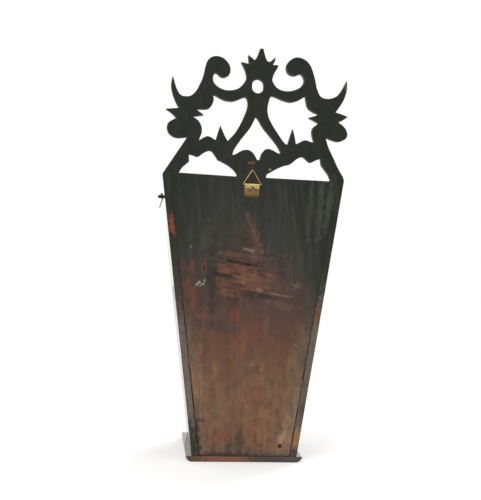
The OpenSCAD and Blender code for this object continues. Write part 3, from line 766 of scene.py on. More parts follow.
# %% [markdown]
# ## The hanger plate
# The plate is a strip of brass sheet rolled over the wire at its top. Its side view is a straight leaf that
# turns into most of a circle, and that line is carried across the width, which narrows at the rounded lower
# corners. The grid is the middle of the sheet, and a Solidify modifier gives it the sheet's thickness.

# %% Plate
joints = {j["name"]: j for j in frame["joints"]}
plate_low, plate_high = (np.array(c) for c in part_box("hanger_plate"))
roll_y, roll_z = joints["bail_swing"]["pos_m"][1:]
roll_outer = plate_high[2] - roll_z
wire_play = 0.06 * MM
sheet = roll_outer - bail_radius - wire_play
roll_radius = roll_outer - sheet / 2
leaf_z = np.linspace(plate_low[2], roll_z, 26)
curl = np.radians(np.linspace(180, -95, 34))[1:]
side_view = np.concatenate([
    np.stack([np.full(len(leaf_z), BACK_Y + sheet / 2), leaf_z], 1),
    np.stack([roll_y + roll_radius * np.cos(curl), roll_z + roll_radius * np.sin(curl)], 1)])
rise = side_view[:, 1] - plate_low[2]
corner_r = 2.0 * MM
on_leaf = np.arange(len(rise)) < len(leaf_z)
pinch = on_leaf * (corner_r - rise).clip(0)
half_width = (plate_high[0] - plate_low[0]) / 2 - corner_r + np.sqrt(corner_r**2 - pinch**2)
w = np.linspace(-1, 1, 25)
plate_x = (plate_high[0] + plate_low[0]) / 2 + half_width[:, None] * w[None]
dent_depth, dent_size = 0.05 * MM, 4 * MM
fade = on_leaf * ((roll_z - side_view[:, 1]) / dent_size).clip(0, 1)
dent = dent_depth * fade[:, None] * np.sin(3.1 * w[None] + 1) * np.cos(rise[:, None] / dent_size)
grid = np.stack([plate_x, side_view[:, :1] + 0 * w + dent, side_view[:, 1:] + 0 * w], -1)
r, c = np.meshgrid(np.arange(len(rise) - 1), np.arange(len(w) - 1), indexing="ij")
first = r * len(w) + c
faces = np.stack([first, first + 1, first + len(w) + 1, first + len(w)], -1).reshape(-1, 4)
plate = make_piece("brass_plate", [(grid, faces)], "carcase")
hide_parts("hanger_plate")
thick = plate.modifiers.new("sheet", "SOLIDIFY")
thick.thickness = sheet
thick.offset = 0
thick.use_even_offset = True
print("plate of", round(sheet / MM, 2), "mm sheet")

# %% [markdown]
# ## How a finish starts
# Every finish below is a network of nodes on Object coordinates that ends in one shader. A piece sits at the
# origin, so these are places on the box itself, and a scale of one over a size in millimetres gives a pattern
# of that size. Values that are the same all over a surface are set on the shader, the others are linked.

# %% Start of a finish
REACH = 1.7
THROUGH_MM = 1e4


def new_finish(name):
    """An empty material, its node tree, and the place on the box in millimetres."""
    material = bpy.data.materials.new(name)
    material.use_nodes = True
    tree = material.node_tree
    tree.nodes.clear()
    place = add(tree, "TexCoord").outputs["Object"]
    return material, tree, add(tree, "VectorMath", (place, 1 / MM), operation="SCALE")


def mottle(tree, in_mm, size, detail=3.0, turn=0.0):
    """Uneven tone from 0 to 1 with specks of the given width, depth and height in millimetres, leaning
    by a turn in degrees as seen from behind."""
    lean = (0, math.radians(turn), 0)
    fitted = {"Vector": in_mm, "Rotation": lean, "Scale": size}
    stretched = add(tree, "Mapping", fitted, vector_type="TEXTURE")
    return add(tree, "TexNoise", {"Vector": stretched, "Scale": 1.0, "Detail": detail, "Roughness": 0.6})


def with_marks(tree, in_mm, colour, marks):
    """A colour with stains and scrapes laid over it, and on the metals a painted highlight and painted shade.
    Each is an ellipse (x, z, half length, half width, turn) in a colour, as strong as given, with its rim
    broken up along the fibres. A round gradient falls from 1 at the middle to 0 at REACH times the ellipse,
    so REACH less
    REACH times it is the distance in ellipses."""
    ragged = add(tree, "MapRange", (mottle(tree, in_mm, (5, 5, 6), 4), 0.3, 0.7, REACH - 0.5, REACH + 0.5))
    for x, z, half_length, half_width, turn, hue, strength in marks:
        ellipse = {"Vector": in_mm, "Location": (x, 0, z), "Rotation": (0, math.radians(turn), 0),
                   "Scale": (REACH * half_length, THROUGH_MM, REACH * half_width)}
        local = add(tree, "Mapping", ellipse, vector_type="TEXTURE")
        round_spot = add(tree, "TexGradient", (local,), gradient_type="SPHERICAL").outputs["Fac"]
        out = add(tree, "Math", (round_spot, -REACH, ragged), operation="MULTIPLY_ADD")
        share = add(tree, "MapRange", (out, 0.5, 1.1, strength, 0.0), interpolation_type="SMOOTHSTEP")
        colour = add(tree, "Mix", (share, colour, linear(hue)), data_type="RGBA")
    return colour


print("a mark fades out at", REACH, "times its size")

# %% [markdown]
# ## Smoked, planed mahogany: the back
# The back was planed once and never polished. It hung on a wall above the smoke of a room, so the upper half
# is nearly black with a green cast, the lower half is brown, and the border runs down the fibres. Seen close
# it has streaks of grain, short dark pores, and scrapes with bare wood in them. The tone follows an arched
# height over the board, pushed up and down by long fibres. The stains are a list of ellipses: a few numbers
# each. Real pores are 0.2 mm wide; here they are 0.9 mm, because finer ones would not show.

# %% Smoked wood
smoke = [(5, "#5a4b40"), (14, "#6d5543"), (30, "#775947"), (50, "#7c5d48"), (90, "#785b46"),
         (110, "#735643"), (130, "#6b4f40"), (150, "#62483c"), (170, "#5b443a"), (190, "#56423c"),
         (215, "#52403a"), (240, "#473c37"), (260, "#413c37"), (285, "#393934"), (310, "#343530"),
         (335, "#30312c"), (400, "#2a2d27")]


def smoked_wood(name, marks):
    """Dull wood whose colour follows a height through the smoke colours. The height is z, plus an arch
    0.0085 (x - 10)^2 that only the upper part has, plus long fibres that fray it."""
    material, tree, in_mm = new_finish(name)
    x, _, z = add(tree, "SeparateXYZ", (in_mm,)).outputs
    fibre = mottle(tree, in_mm, (3.6, 3.6, 110))
    columns = mottle(tree, in_mm, (13, 13, 190), 2)
    blotch = mottle(tree, in_mm, (9, 9, 13), 4)
    cloud = mottle(tree, in_mm, (34, 34, 55))
    pores = mottle(tree, in_mm, (0.9, 0.9, 11), 1)
    streaks = mottle(tree, in_mm, (6, 6, 110), 2, 7)
    tears = mottle(tree, in_mm, (22, 22, 4.5), 4, -7)
    edge = add(tree, "Attribute", attribute_name="edge_mm").outputs["Fac"]

    aside = add(tree, "Math", (x, 10.0), operation="SUBTRACT")
    aside = add(tree, "Math", (aside, aside), operation="MULTIPLY")
    bend = add(tree, "MapRange", (z, 110.0, 230.0, 0.0, 0.0085))
    arch = add(tree, "Math", (aside, bend, z), operation="MULTIPLY_ADD")
    height = arch
    for pattern, most in ((columns, 26.0), (blotch, 14.0)):
        fray = add(tree, "MapRange", (pattern, 0.3, 0.7, -most, most))
        height = add(tree, "Math", (fray, height), operation="ADD")
    colour = linear(smoke[0][1])
    for (below, _), (above, hue) in zip(smoke, smoke[1:]):
        share = add(tree, "MapRange", (height, below, above))
        colour = add(tree, "Mix", (share, colour, linear(hue)), data_type="RGBA")

    # Ruddy and olive clouds in the brown wood, olive grime along the joints, pale streaks in the dark wood:
    # each is a pattern, where it starts and is full, how strong it gets, where on the board, and its colour
    brown = add(tree, "MapRange", (arch, 270.0, 220.0))
    low_down = add(tree, "MapRange", (z, 190.0, 150.0))
    black = add(tree, "MapRange", (arch, 240.0, 280.0))
    under_crest = add(tree, "MapRange", (z, 352.0, 335.0))
    dark = add(tree, "Math", (black, under_crest), operation="MULTIPLY")
    for pattern, start, full, most, where, hue in (
            (cloud, 0.47, 0.64, 0.6, brown, "#784b37"), (blotch, 0.48, 0.3, 0.45, brown, "#5c5342"),
            (edge, 16.0, 3.0, 0.6, low_down, "#685f51"), (streaks, 0.5, 0.72, 0.5, dark, "#45463f")):
        share = add(tree, "MapRange", (pattern, start, full, 0.0, most))
        share = add(tree, "Math", (share, where), operation="MULTIPLY")
        colour = add(tree, "Mix", (share, colour, linear(hue)), data_type="RGBA")

    # The stains, then torn fibres across the middle: pale where they lift, dark where they are gone
    torn = add(tree, "MapRange", (z, 178.0, 205.0))
    for pattern, start, full in ((z, 268.0, 246.0), (aside, 3300.0, 1200.0), (cloud, 0.38, 0.55)):
        limit = add(tree, "MapRange", (pattern, start, full))
        torn = add(tree, "Math", (torn, limit), operation="MULTIPLY")
    colour = with_marks(tree, in_mm, colour, marks)
    for start, full, most, hue in ((0.54, 0.72, 0.5, "#8d6a50"), (0.48, 0.32, 0.85, "#2d2723")):
        share = add(tree, "MapRange", (tears, start, full, 0.0, most))
        share = add(tree, "Math", (share, torn), operation="MULTIPLY")
        colour = add(tree, "Mix", (share, colour, linear(hue)), data_type="RGBA")

    # Dark pores, and a tone that changes from fibre to fibre and from blotch to blotch
    dashes = add(tree, "MapRange", (pores, 0.6, 0.72, 0.0, 0.25))
    colour = add(tree, "Mix", (dashes, colour, linear("#2b241f")), data_type="RGBA")
    by_fibre = add(tree, "MapRange", (fibre, 0.25, 0.75, 0.88, 1.12))
    by_blotch = add(tree, "MapRange", (blotch, 0.3, 0.7, 0.82, 1.18))
    tone = add(tree, "Math", (by_fibre, by_blotch), operation="MULTIPLY")
    by_column = add(tree, "MapRange", (columns, 0.32, 0.68, -0.14, 0.14))
    tone = add(tree, "Math", (by_column, brown, tone), operation="MULTIPLY_ADD")
    colour = add(tree, "VectorMath", (colour, tone), operation="SCALE")

    # A rubbed arris in the crest, a dark open joint beside the sides
    crest = add(tree, "MapRange", (z, 330.0, 344.0))
    arris = add(tree, "MapRange", (edge, 1.3, 0.0, 0.0, 0.15))
    worn = add(tree, "Math", (arris, crest), operation="MULTIPLY")
    colour = add(tree, "Mix", (worn, colour, linear("#57534a")), data_type="RGBA")
    gap = add(tree, "MapRange", (edge, 1.2, 0.5, 0.0, 0.85))
    for pattern, start, end, first, last in (
            (z, 250.0, 150.0, 0.15, 1.0), (blotch, 0.4, 0.55, 0.3, 1.0), (crest, 0.0, 1.0, 1.0, 0.0)):
        share = add(tree, "MapRange", (pattern, start, end, first, last))
        gap = add(tree, "Math", (gap, share), operation="MULTIPLY")
    colour = add(tree, "Mix", (gap, colour, linear("#1d1a17")), data_type="RGBA")

    roughness = add(tree, "MapRange", (fibre, 0.3, 0.7, 0.62, 0.84))
    relief = add(tree, "Math", (dashes, -1.5, fibre), operation="MULTIPLY_ADD")
    relief = add(tree, "Math", (tears, torn, relief), operation="MULTIPLY_ADD")
    bump = add(tree, "Bump", {"Strength": 0.5, "Distance": 0.25 * MM, "Height": relief})
    shader = add(tree, "BsdfPrincipled", {"Base Color": colour, "Roughness": roughness, "Normal": bump,
                                          "Specular IOR Level": 0.12})
    add(tree, "OutputMaterial", {"Surface": shader})
    return material


print("smoke in", len(smoke), "shades up to a height of", smoke[-1][0], "mm")

# %% [markdown]
# ## Stains of the back
# An old board keeps what happened to it: scrapes across the middle, a dark column where damp ran down,
# bruised wood round a nail, a damp foot. Noise alone would put such marks anywhere, so the larger ones are
# placed one by one. A row holds a place on the box, half a length and half a width in millimetres, a turn in
# degrees, a colour and how strong it is.

# %% Marks on the back
back_marks = [
    # Scrapes and bands across the middle
    (-1, 272, 30, 10, -74, "#54433b", 0.7),
    (-3, 273, 30, 1.7, -66, "#6c4a3c", 0.7),
    (-11, 260, 18, 1.7, -74, "#6e4c3c", 0.75),
    (-6, 262, 14, 5, -70, "#61453a", 0.6),
    (8, 247, 36, 6, -4, "#5d4640", 0.75),
    (5, 255.5, 8, 2.0, -8, "#857763", 0.6),
    (-1, 252.5, 4, 1.4, -30, "#7d6d5b", 0.55),
    (27, 232, 23, 7, -5, "#6f493a", 0.9),
    (18, 240, 38, 2.2, -8, "#2f2a27", 0.9),
    (32, 223.5, 22, 3, -8, "#332d29", 0.85),
    (3, 231, 12, 2.4, 20, "#3a322e", 0.75),
    (-8, 215, 30, 12, -6, "#715141", 0.8),
    (-36, 212, 26, 12, -8, "#5f4b41", 0.6),
    (12, 213, 14, 7, 10, "#734b39", 0.6),
    (28, 209, 17, 6, 4, "#48393a", 0.6),
    (-30, 236, 18, 9, -6, "#473d3c", 0.7),
    (8, 219, 14, 2.6, 86, "#7b6150", 0.55),
    (-8, 201, 34, 3.4, -8, "#352c29", 0.85),
    (-6, 197, 24, 4.5, -6, "#43383a", 0.65),
    (-40, 194, 14, 4, -10, "#473b3a", 0.6),
    (-12, 207.5, 7, 2.6, 0, "#8b7556", 0.7),
    (-36, 202, 17, 1.4, -8, "#8a6b54", 0.7),
    (-58, 214, 6, 5, 30, "#6f6250", 0.6),
    (-40, 190, 24, 6, -10, "#675346", 0.5),
    (-40, 226, 30, 9, 90, "#4a3d3c", 0.6),
    (-60, 235, 28, 6, 90, "#46403d", 0.5),
    (-20, 256, 16, 0.8, 82, "#57504b", 0.6),
    (-31, 247, 10, 0.8, 84, "#544a47", 0.6),
    (-47, 238, 18, 0.8, 84, "#5b524e", 0.6),
    (-50, 226, 16, 0.7, 88, "#5a504b", 0.55),
    (-57, 217, 10, 0.8, 80, "#5f5650", 0.55),
    # The dark column and the ruddy patches beside it
    (46, 216, 52, 7, 90, "#383733", 0.75),
    (49, 252, 40, 6, 88, "#353632", 0.7),
    (30, 192, 20, 8, -4, "#453a38", 0.55),
    (55, 262, 30, 9, 90, "#4b443f", 0.5),
    (82, 233, 9, 7, 90, "#573d34", 0.8),
    (71, 234, 12, 3.6, 84, "#734531", 0.55),
    (86, 225, 9, 4, 84, "#603e31", 0.65),
    (77, 213, 10, 5, 50, "#6a4131", 0.65),
    (69, 205, 8, 4, 20, "#714534", 0.65),
    (68, 193, 20, 3.4, 88, "#6e442f", 0.65),
    (57, 192, 12, 6, 80, "#4c3d38", 0.6),
    (57, 233, 8, 4, 90, "#6c4a33", 0.7),
    (57, 233, 4.5, 1.8, 90, "#35302c", 0.9),
    (64, 212.5, 3.4, 1.6, 30, "#97937f", 0.85),
    (61, 215, 2.4, 1.3, -20, "#a5a292", 0.85),
    (60, 211, 2.2, 1.2, 60, "#8d8876", 0.8),
    (57, 213, 2.6, 1.4, 10, "#a5a292", 0.85),
    (55.5, 216.5, 2.2, 1.3, 80, "#97937f", 0.8),
    (73, 257, 1.6, 2.2, 0, "#7b706c", 0.55),
    # Patches and small spots in the brown wood
    (57, 174, 9, 5, 0, "#7d4c36", 0.65),
    (18, 176, 7, 10, 0, "#744536", 0.65),
    (42, 164, 30, 10, -8, "#4f413e", 0.65),
    (-20, 166, 16, 5, 90, "#6f4e3f", 0.5),
    (-68, 152, 30, 8, 84, "#625a4b", 0.5),
    (-72, 184, 34, 9, 85, "#43423c", 0.6),
    (-53, 110, 36, 8, 86, "#75644f", 0.5),
    (-67, 82, 28, 5, 82, "#8b725c", 0.6),
    (6, 132, 16, 3.4, 85, "#7c4f36", 0.65),
    (58, 138, 9, 4, 90, "#7d543f", 0.6),
    (28, 118, 20, 6, 88, "#5f463a", 0.5),
    (62, 106, 40, 9, -82, "#84664f", 0.6),
    (62, 90, 16, 4, -80, "#8a5f3e", 0.7),
    (40, 108, 13, 4, 90, "#8a6a50", 0.55),
    (-16, 60, 66, 6, 90, "#8a6349", 0.5),
    (-34, 44, 26, 6, 90, "#7d6152", 0.45),
    (-45, 104, 24, 5, 90, "#5f5142", 0.5),
    (33, 62, 18, 9, 90, "#6d5c46", 0.45),
    (-22, 44, 34, 11, 90, "#8b684f", 0.6),
    (64, 92, 22, 4, -82, "#8f745c", 0.45),
    (1, 67, 2.4, 2.2, 0, "#80796a", 0.5),
    (-5, 118, 4, 3, 20, "#7d7464", 0.45),
    # The bruised wood round a nail, and the damp foot
    (-47, 28, 12, 9, 60, "#98775a", 0.85),
    (-43, 24, 6, 3, 60, "#a9834f", 0.7),
    (-50, 48, 14, 6, 75, "#84705d", 0.7),
    (-60, 45, 60, 7, 84, "#8a7260", 0.6),
    (-38, 18, 28, 8, 0, "#866550", 0.7),
    (55, 50, 11, 3, 0, "#47443b", 0.7),
    (5, 25, 14, 8, 90, "#52443b", 0.5),
    (57.5, 20, 32, 5.5, -84, "#393c35", 0.8),
    (30, 8.5, 55, 4.5, 0, "#42382f", 0.8),
    (-40, 7, 40, 2.4, 0, "#4c4138", 0.6),
    # Paler smoke beside the right shoulder, chips in the crest
    (-69, 306, 42, 4, 87, "#4a4b45", 0.5),
    (-81, 300, 52, 5, 86, "#4b4c46", 0.55),
    (-93, 312, 36, 5, 83, "#4d4e48", 0.55),
    (3.5, 360, 5, 2, 0, "#7d4d3c", 0.85),
    (3, 354.5, 2.4, 3, 0, "#53382f", 0.6),
    (-18.6, 353, 1.8, 1.3, 30, "#a09a60", 0.8),
    (-109.3, 459.5, 6.5, 2.0, 74, "#7a4a42", 0.8),
]
edge_marks = [
    (97, 287, 14, 5, -82, "#5f3d2f", 0.9),
    (96, 281, 12, 5, -82, "#80492d", 0.8),
    (76, 100, 85, 13, -82, "#6e675a", 0.75),
    (66, 24, 34, 12, -82, "#363a33", 0.9),
    (-78, 118, 90, 13, 82, "#6c6357", 0.75),
    (-85, 174, 11, 4, 82, "#7c5030", 0.7),
    (-70, 62, 12, 7, 82, "#4c4440", 0.6),
    (-63, 30, 13, 6, 82, "#94694a", 0.9),
    (-61, 12, 7, 9, 82, "#4a4144", 0.8),
]
# Smoked bare wood looks dull: brown at the foot, nearly black above. The edges of the sides share the smoke
smoked_back = smoked_wood("smoked_planed_mahogany", back_marks)
smoked_edges = smoked_wood("smoked_mahogany_edges", edge_marks)
print("smoked back with", len(back_marks), "stains and", len(smoked_back.node_tree.nodes), "nodes")

# %% [markdown]
# ## Polished and bare mahogany
# The outside was French polished: shellac rubbed on in many thin coats, which fills the pores and gives a
# deep gloss that is dull where hands have been. Inside the wood is bare, and the sawn walls of the fretwork
# are dark with smoke. All of it is one wood, so one function draws the fibres, the ribbon figure that comes
# from grain that twists to and fro, the pores and the grime. What changes is the run of the grain, the
# colours and the gloss. Pores are drawn 0.8 mm wide, because real ones would be too fine to show.

# %% One wood, several finishes
ring_mm = 7.5
# A wave texture of scale 1 repeats after 2 pi / 20 of its unit, which is a millimetre here
WAVE = 2 * math.pi / 20


def mahogany(name, grain, hues, gloss, coat=0.0, saw_mm=0.0, edge_hue=None, marks=(), below=None):
    """Wood with its fibres along an axis. Tone is a mix of ribbons and of growth rings: shells round a heart
    that lay 190 mm in front of the box and leans a little, so that a flat board cuts them to arches.
    Roughness runs over the gloss range. below is a height, with the colour and the share of it that the wood
    takes on under that height."""
    material, tree, in_mm = new_finish(name)

    def along(width, length):
        return [length if axis == grain else width for axis in "XYZ"]

    fibre = mottle(tree, in_mm, along(1.6, 55), 4)
    ribbon = mottle(tree, in_mm, along(15, 190), 2)
    cloud = mottle(tree, in_mm, along(45, 70), 3)
    pores = mottle(tree, in_mm, along(0.8, 10), 1)
    lie = {"Vector": in_mm, "Location": (24, -190, 40), "Rotation": (0.09, 0.05, 0.03), "Scale": along(1, 7)}
    heart = add(tree, "Mapping", lie, vector_type="TEXTURE")
    shells = {"Vector": heart, "Scale": WAVE / ring_mm, "Distortion": 9.0, "Detail": 3.0, "Detail Scale": 0.5}
    figure = add(tree, "TexWave", shells, wave_type="RINGS", rings_direction=grain, wave_profile="SAW")
    tone = add(tree, "Mix", (0.3, ribbon, figure.outputs["Fac"]))
    deep, middle, light, grime = (linear(hue) for hue in hues)
    colour = add(tree, "Mix", (add(tree, "MapRange", (tone, 0.2, 0.5)), deep, middle), data_type="RGBA")
    colour = add(tree, "Mix", (add(tree, "MapRange", (tone, 0.5, 0.8)), colour, light), data_type="RGBA")
    shade = add(tree, "MapRange", (fibre, 0.25, 0.75, 0.72, 1.28))
    colour = add(tree, "VectorMath", (colour, shade), operation="SCALE")
    dashes = add(tree, "MapRange", (pores, 0.58, 0.7, 0.0, 0.55))
    colour = add(tree, "Mix", (dashes, colour, grime), data_type="RGBA")
    grimy = add(tree, "MapRange", (cloud, 0.5, 0.75, 0.0, 0.4))
    colour = add(tree, "Mix", (grimy, colour, grime), data_type="RGBA")
    if edge_hue:
        edge = add(tree, "Attribute", attribute_name="edge_mm").outputs["Fac"]
        reach = add(tree, "Math", (cloud, 5.0), operation="MULTIPLY")
        dirt = add(tree, "MapRange", (edge, 16.0, 3.0, 0.0, 0.35))
        colour = add(tree, "Mix", (dirt, colour, grime), data_type="RGBA")
        share = add(tree, "Math", (edge, reach), operation="DIVIDE")
        rubbed = add(tree, "MapRange", (share, 0.2, 1.0, 0.75, 0.0))
        colour = add(tree, "Mix", (rubbed, colour, linear(edge_hue)), data_type="RGBA")
    colour = with_marks(tree, in_mm, colour, marks)
    relief = add(tree, "Math", (dashes, -0.8, fibre), operation="MULTIPLY_ADD")
    if saw_mm:
        lines = add(tree, "MapRange", (mottle(tree, in_mm, (saw_mm * 4, 40, saw_mm), 2), 0.4, 0.6))
        relief = add(tree, "Math", (relief, lines), operation="ADD")
        shade = add(tree, "MapRange", (lines, 0.0, 1.0, 0.85, 1.12))
        colour = add(tree, "VectorMath", (colour, shade), operation="SCALE")
    if below:
        top, hue, most = below
        z = add(tree, "SeparateXYZ", (in_mm,)).outputs["Z"]
        ragged = add(tree, "Math", (fibre, 8.0, z), operation="MULTIPLY_ADD")
        share = add(tree, "MapRange", (ragged, top + 7, top + 3, 0.0, most))
        colour = add(tree, "Mix", (share, colour, linear(hue)), data_type="RGBA")
    roughness = add(tree, "MapRange", (cloud, 0.3, 0.7, *gloss))
    bump = add(tree, "Bump", {"Strength": 0.4, "Distance": 0.2 * MM, "Height": relief})
    shader = add(tree, "BsdfPrincipled", {
        "Base Color": colour, "Roughness": roughness, "Normal": bump, "Specular IOR Level": 0.2,
        "Coat Weight": coat, "Coat Roughness": 0.07})
    add(tree, "OutputMaterial", {"Surface": shader})
    return material


print("mahogany rings", ring_mm, "mm apart")

# %% [markdown]
# ## The mahogany finishes
# A finish is the run of the grain, four colours and a range of roughness. The colours go from deep to pale,
# with the grime last. The grain runs along a board: upright in the case, level in the lid and the base. A
# picture of wood would be quicker, but it couldn't follow each board's grain and worn edges.

# %% Mahogany finishes
# French polish looks deep and red-brown under a clear gloss, with paler wood at the rubbed edges
polish = ("#43281d", "#5d3826", "#77492f", "#2a1b15")
upright_polish = mahogany("french_polished_mahogany_upright", "Z", polish, (0.36, 0.5), coat=1.0,
                          edge_hue="#8a5c3c")
# The lid is handled most, so half of its gloss is gone
level_polish = mahogany("french_polished_mahogany_level", "X", polish, (0.34, 0.42), coat=0.45)
# The base keeps its gloss, and along its back it is smoked and patchy
base_polish = mahogany("french_polished_mahogany_base", "X", polish, (0.22, 0.4), coat=1.0)
base_back = mahogany("french_polished_mahogany_base_back", "X", polish, (0.22, 0.4), coat=1.0,
                     marks=[(-46, 3, 62, 14, 0, "#3b3b35", 0.9), (24, 3, 38, 14, 0, "#885340", 0.8),
                            (66, 3, 12, 14, 0, "#4d352c", 0.7)])
# Rubbed edges look paler and silky, because the polish is worn off them
rub = ("#5d3c2a", "#7d5337", "#946a48", "#3a281e")
rubbed = mahogany("rubbed_mahogany_edge", "X", rub, (0.4, 0.6))
rubbed_upright = mahogany("rubbed_mahogany_edge_upright", "Z", rub, (0.4, 0.6))
# Bare planed wood looks brown and dull
bare = ("#61452f", "#765439", "#8a6647", "#402e21")
bare_level = mahogany("bare_planed_mahogany_level", "X", bare, (0.68, 0.86))
bare_upright = mahogany("bare_planed_mahogany_upright", "Z", bare, (0.68, 0.86))
divider_hues = ("#5c402b", "#6f4f35", "#816042", "#3c2b1f")
bare_divider = mahogany("bare_planed_mahogany_divider", "Z", divider_hues, (0.7, 0.88))
# The front of the crest is dark with smoke and has a little gloss left
crest_hues = ("#2f2019", "#432a1f", "#563626", "#211813")
crest_front = mahogany("french_polished_mahogany_crest", "Z", crest_hues, (0.3, 0.5), coat=0.25,
                       edge_hue="#6f4c35", below=(312, "#755238", 0.55))
# Sawn walls look dark and dull, with fine lines across them from the saw
sawn_hues = ("#2e2620", "#393028", "#443930", "#221c17")
sawn = mahogany("fret_sawn_mahogany", "Z", sawn_hues, (0.55, 0.7), coat=0.15, saw_mm=0.9,
                below=(310, "#1f1d1a", 0.95))
print("mahogany finishes of", len(upright_polish.node_tree.nodes), "nodes")

# %% [markdown]
# ## Planed pine
# The corner blocks inside are scraps of pine, planed and never finished. Pine shows bands of pale early wood
# and brown late wood about 3 mm apart, and it yellows with age. Bands along one axis, bent a little, give the
# rings; fine fibre gives the silk.

# %% Pine
# Planed pine looks pale yellow-brown and silky, with browner rings
pine, tree, in_mm = new_finish("planed_yellow_pine")
pine_ring_mm = 3.0
bands = {"Vector": in_mm, "Scale": WAVE / pine_ring_mm, "Distortion": 1.6, "Detail": 2.0, "Detail Scale": 0.4}
rings = add(tree, "TexWave", bands, wave_type="BANDS", bands_direction="X", wave_profile="SAW")
fibre = mottle(tree, in_mm, (0.8, 0.8, 30))
colour = add(tree, "Mix", (rings.outputs["Fac"], linear("#b8925c"), linear("#8d6436")), data_type="RGBA")
soot = add(tree, "MapRange", (mottle(tree, in_mm, (14, 14, 14)), 0.45, 0.75, 0.0, 0.6))
colour = add(tree, "Mix", (soot, colour, linear("#6b4f33")), data_type="RGBA")
silk = add(tree, "MapRange", (fibre, 0.25, 0.75, 0.85, 1.12))
colour = add(tree, "VectorMath", (colour, silk), operation="SCALE")
bump = add(tree, "Bump", {"Strength": 0.4, "Distance": 0.2 * MM, "Height": fibre})
roughness = add(tree, "MapRange", (fibre, 0.3, 0.7, 0.65, 0.8))
shader = add(tree, "BsdfPrincipled", {
    "Base Color": colour, "Roughness": roughness, "Normal": bump, "Specular IOR Level": 0.3})
add(tree, "OutputMaterial", {"Surface": shader})
print("pine rings", pine_ring_mm, "mm apart")

# %% [markdown]
# ## Iron, brass and steel
# The nails and pins are forged iron gone brown with rust, the keeper is soft iron wire, the plate is rolled
# brass sheet with a painted highlight along its roll and a tarnished leaf that gets darker towards its foot,
# the loop is drawn brass wire and the screw is turned steel with painted shade in its slot. A metal gets its
# colour from what it reflects, so its own colour stays high and its roughness says how old it is. Tarnish and
# rust are dull and not metal, so the same pattern that colours them also lowers the metal share.

# %% Metals
def metal(name, bright, tarnish, gloss, speck_mm, share, lines=None, marks=(), shades=()):
    """Metal with tarnish in specks of a size in millimetres: share is how much of the surface it takes.
    Lines are the width, depth and height of the marks that rolling, drawing or turning left. Each shade
    runs from nothing at one height to full at another."""
    material, tree, in_mm = new_finish(name)
    specks = mottle(tree, in_mm, (speck_mm, speck_mm, speck_mm), 5)
    dull = add(tree, "MapRange", (specks, 0.62 - 0.4 * share, 0.82 - 0.4 * share))
    drawn = mottle(tree, in_mm, lines or (0.6, 0.6, 0.6), 3)
    colour = add(tree, "Mix", (dull, linear(bright), linear(tarnish)), data_type="RGBA")
    z = add(tree, "SeparateXYZ", (in_mm,)).outputs["Z"]
    for start, full, hue in shades:
        shaded = add(tree, "MapRange", (z, start, full, 0.0, 0.9))
        colour = add(tree, "Mix", (shaded, colour, linear(hue)), data_type="RGBA")
    colour = with_marks(tree, in_mm, colour, marks)
    tone = add(tree, "MapRange", (drawn, 0.3, 0.7, 0.86, 1.1))
    colour = add(tree, "VectorMath", (colour, tone), operation="SCALE")
    pure = add(tree, "MapRange", (dull, 0.0, 1.0, 1.0, 0.55))
    scratched = add(tree, "MapRange", (drawn, 0.3, 0.7, -0.06, 0.06))
    aged = add(tree, "MapRange", (dull, 0.0, 1.0, *gloss))
    worn = add(tree, "Math", (scratched, aged), operation="ADD")
    relief = add(tree, "Math", (specks, drawn), operation="ADD")
    bump = add(tree, "Bump", {"Strength": 0.35, "Distance": 0.12 * MM, "Height": relief})
    shader = add(tree, "BsdfPrincipled", {
        "Base Color": colour, "Metallic": pure, "Roughness": worn, "Normal": bump})
    add(tree, "OutputMaterial", {"Surface": shader})
    return material


# Forged iron looks brown-black and dull, with rust in specks
forged_iron = metal("forged_iron", "#4a4743", "#33261f", (0.5, 0.8), 2.2, 0.55)
# Annealed wire is a little smoother and greyer
iron_wire = metal("annealed_iron_wire", "#4d4b47", "#352a23", (0.42, 0.7), 1.6, 0.45)
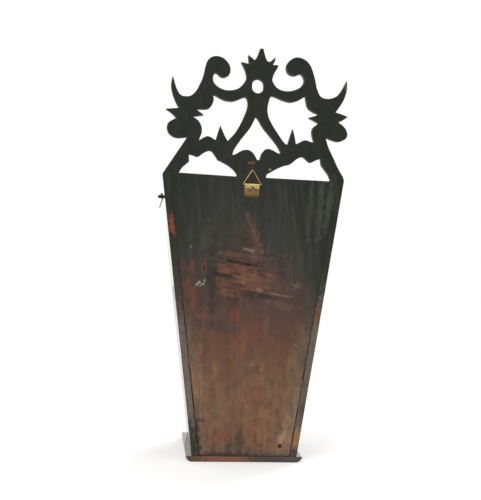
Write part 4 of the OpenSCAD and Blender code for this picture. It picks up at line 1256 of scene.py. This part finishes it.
# Rolled sheet shows fine lines: a painted highlight on the roll, brown tarnish and spots on the leaf, which
# gets darker towards its foot
plate_spots_and_highlight = [
    (5.9, 326, 1.8, 1.5, 0, "#5a2f22", 0.9),
    (-2.7, 326.2, 1.8, 1.5, 0, "#7a4038", 0.85),
    (9.5, 327, 4, 6, 0, "#95683a", 0.6),
    # A painted highlight along the roll, brightest at this end
    (-4, 331, 5, 2.4, 0, "#cfb266", 0.6),
    (2, 329, 4, 3.6, 0, "#4a3a22", 0.7),
]
# The first shade is a painted highlight along the roll, the second darkens the leaf towards its foot
brass_sheet = metal("rolled_brass_sheet", "#806b40", "#5f4c2e", (0.3, 0.55), 5.0, 0.4, lines=(9, 9, 0.8),
                    marks=plate_spots_and_highlight, shades=[(328.8, 332.0, "#e8cf88"), (323.5, 318, "#3d3427")])
# Drawn wire looks pale gold with dull specks
brass_wire = metal("drawn_brass_wire", "#bba768", "#7d6b3c", (0.35, 0.55), 2.0, 0.4)
# Turned steel looks grey and half bright; a dark line painted across the head stands in for the shade in its
# slot
painted_slot_shade = [(2.4, 328.9, 3.0, 0.75, 64, "#1d1a16", 0.95)]
turned_steel = metal("turned_steel", "#96938a", "#4a463f", (0.3, 0.55), 1.2, 0.45, marks=painted_slot_shade)
print("metals:", forged_iron.name, iron_wire.name, brass_sheet.name, brass_wire.name, turned_steel.name)

# %% [markdown]
# ## Which piece gets which finish
# A board has three slots: its outer face, its edges and its other face, and the sides have one more for the
# edges that don't look backwards. An eased piece has four: its faces, its bevelled edges, its underside and
# what looks backwards. The loaded pieces that keep their own mesh get the finish put into their slots.

# %% Finishes onto pieces
dressed = {
    back: (smoked_back, sawn, crest_front),
    boards["left_side"]: (upright_polish, smoked_edges, bare_upright, rubbed_upright),
    boards["right_side"]: (upright_polish, smoked_edges, bare_upright, rubbed_upright),
    boards["front_board"]: (upright_polish, rubbed_upright, bare_upright),
    boards["lid_board"]: (level_polish, rubbed, bare_level, level_polish),
    boards["base_board"]: (base_polish, base_polish, bare_level, base_back),
    boards["divider"]: (bare_divider,) * 4,
    boards["left_corner_block"]: (pine,) * 4,
    boards["right_corner_block"]: (pine,) * 4,
    bail: (brass_wire,),
    keeper: (iron_wire,),
    plate: (brass_sheet,),
    nodes["left_lid_pin"]: (forged_iron,),
    nodes["right_lid_pin"]: (forged_iron,),
    nodes["hanger_screw"]: (turned_steel,),
}
dressed.update({nodes[n]: (forged_iron,) for n in nodes if n.endswith("_nails")})
for piece, finishes in dressed.items():
    if len(piece.material_slots) == 0:
        for finish in finishes:
            piece.data.materials.append(finish)
    else:
        for holder in piece.material_slots:
            holder.material = finishes[0]
    print(piece.name, [holder.material.name for holder in piece.material_slots])
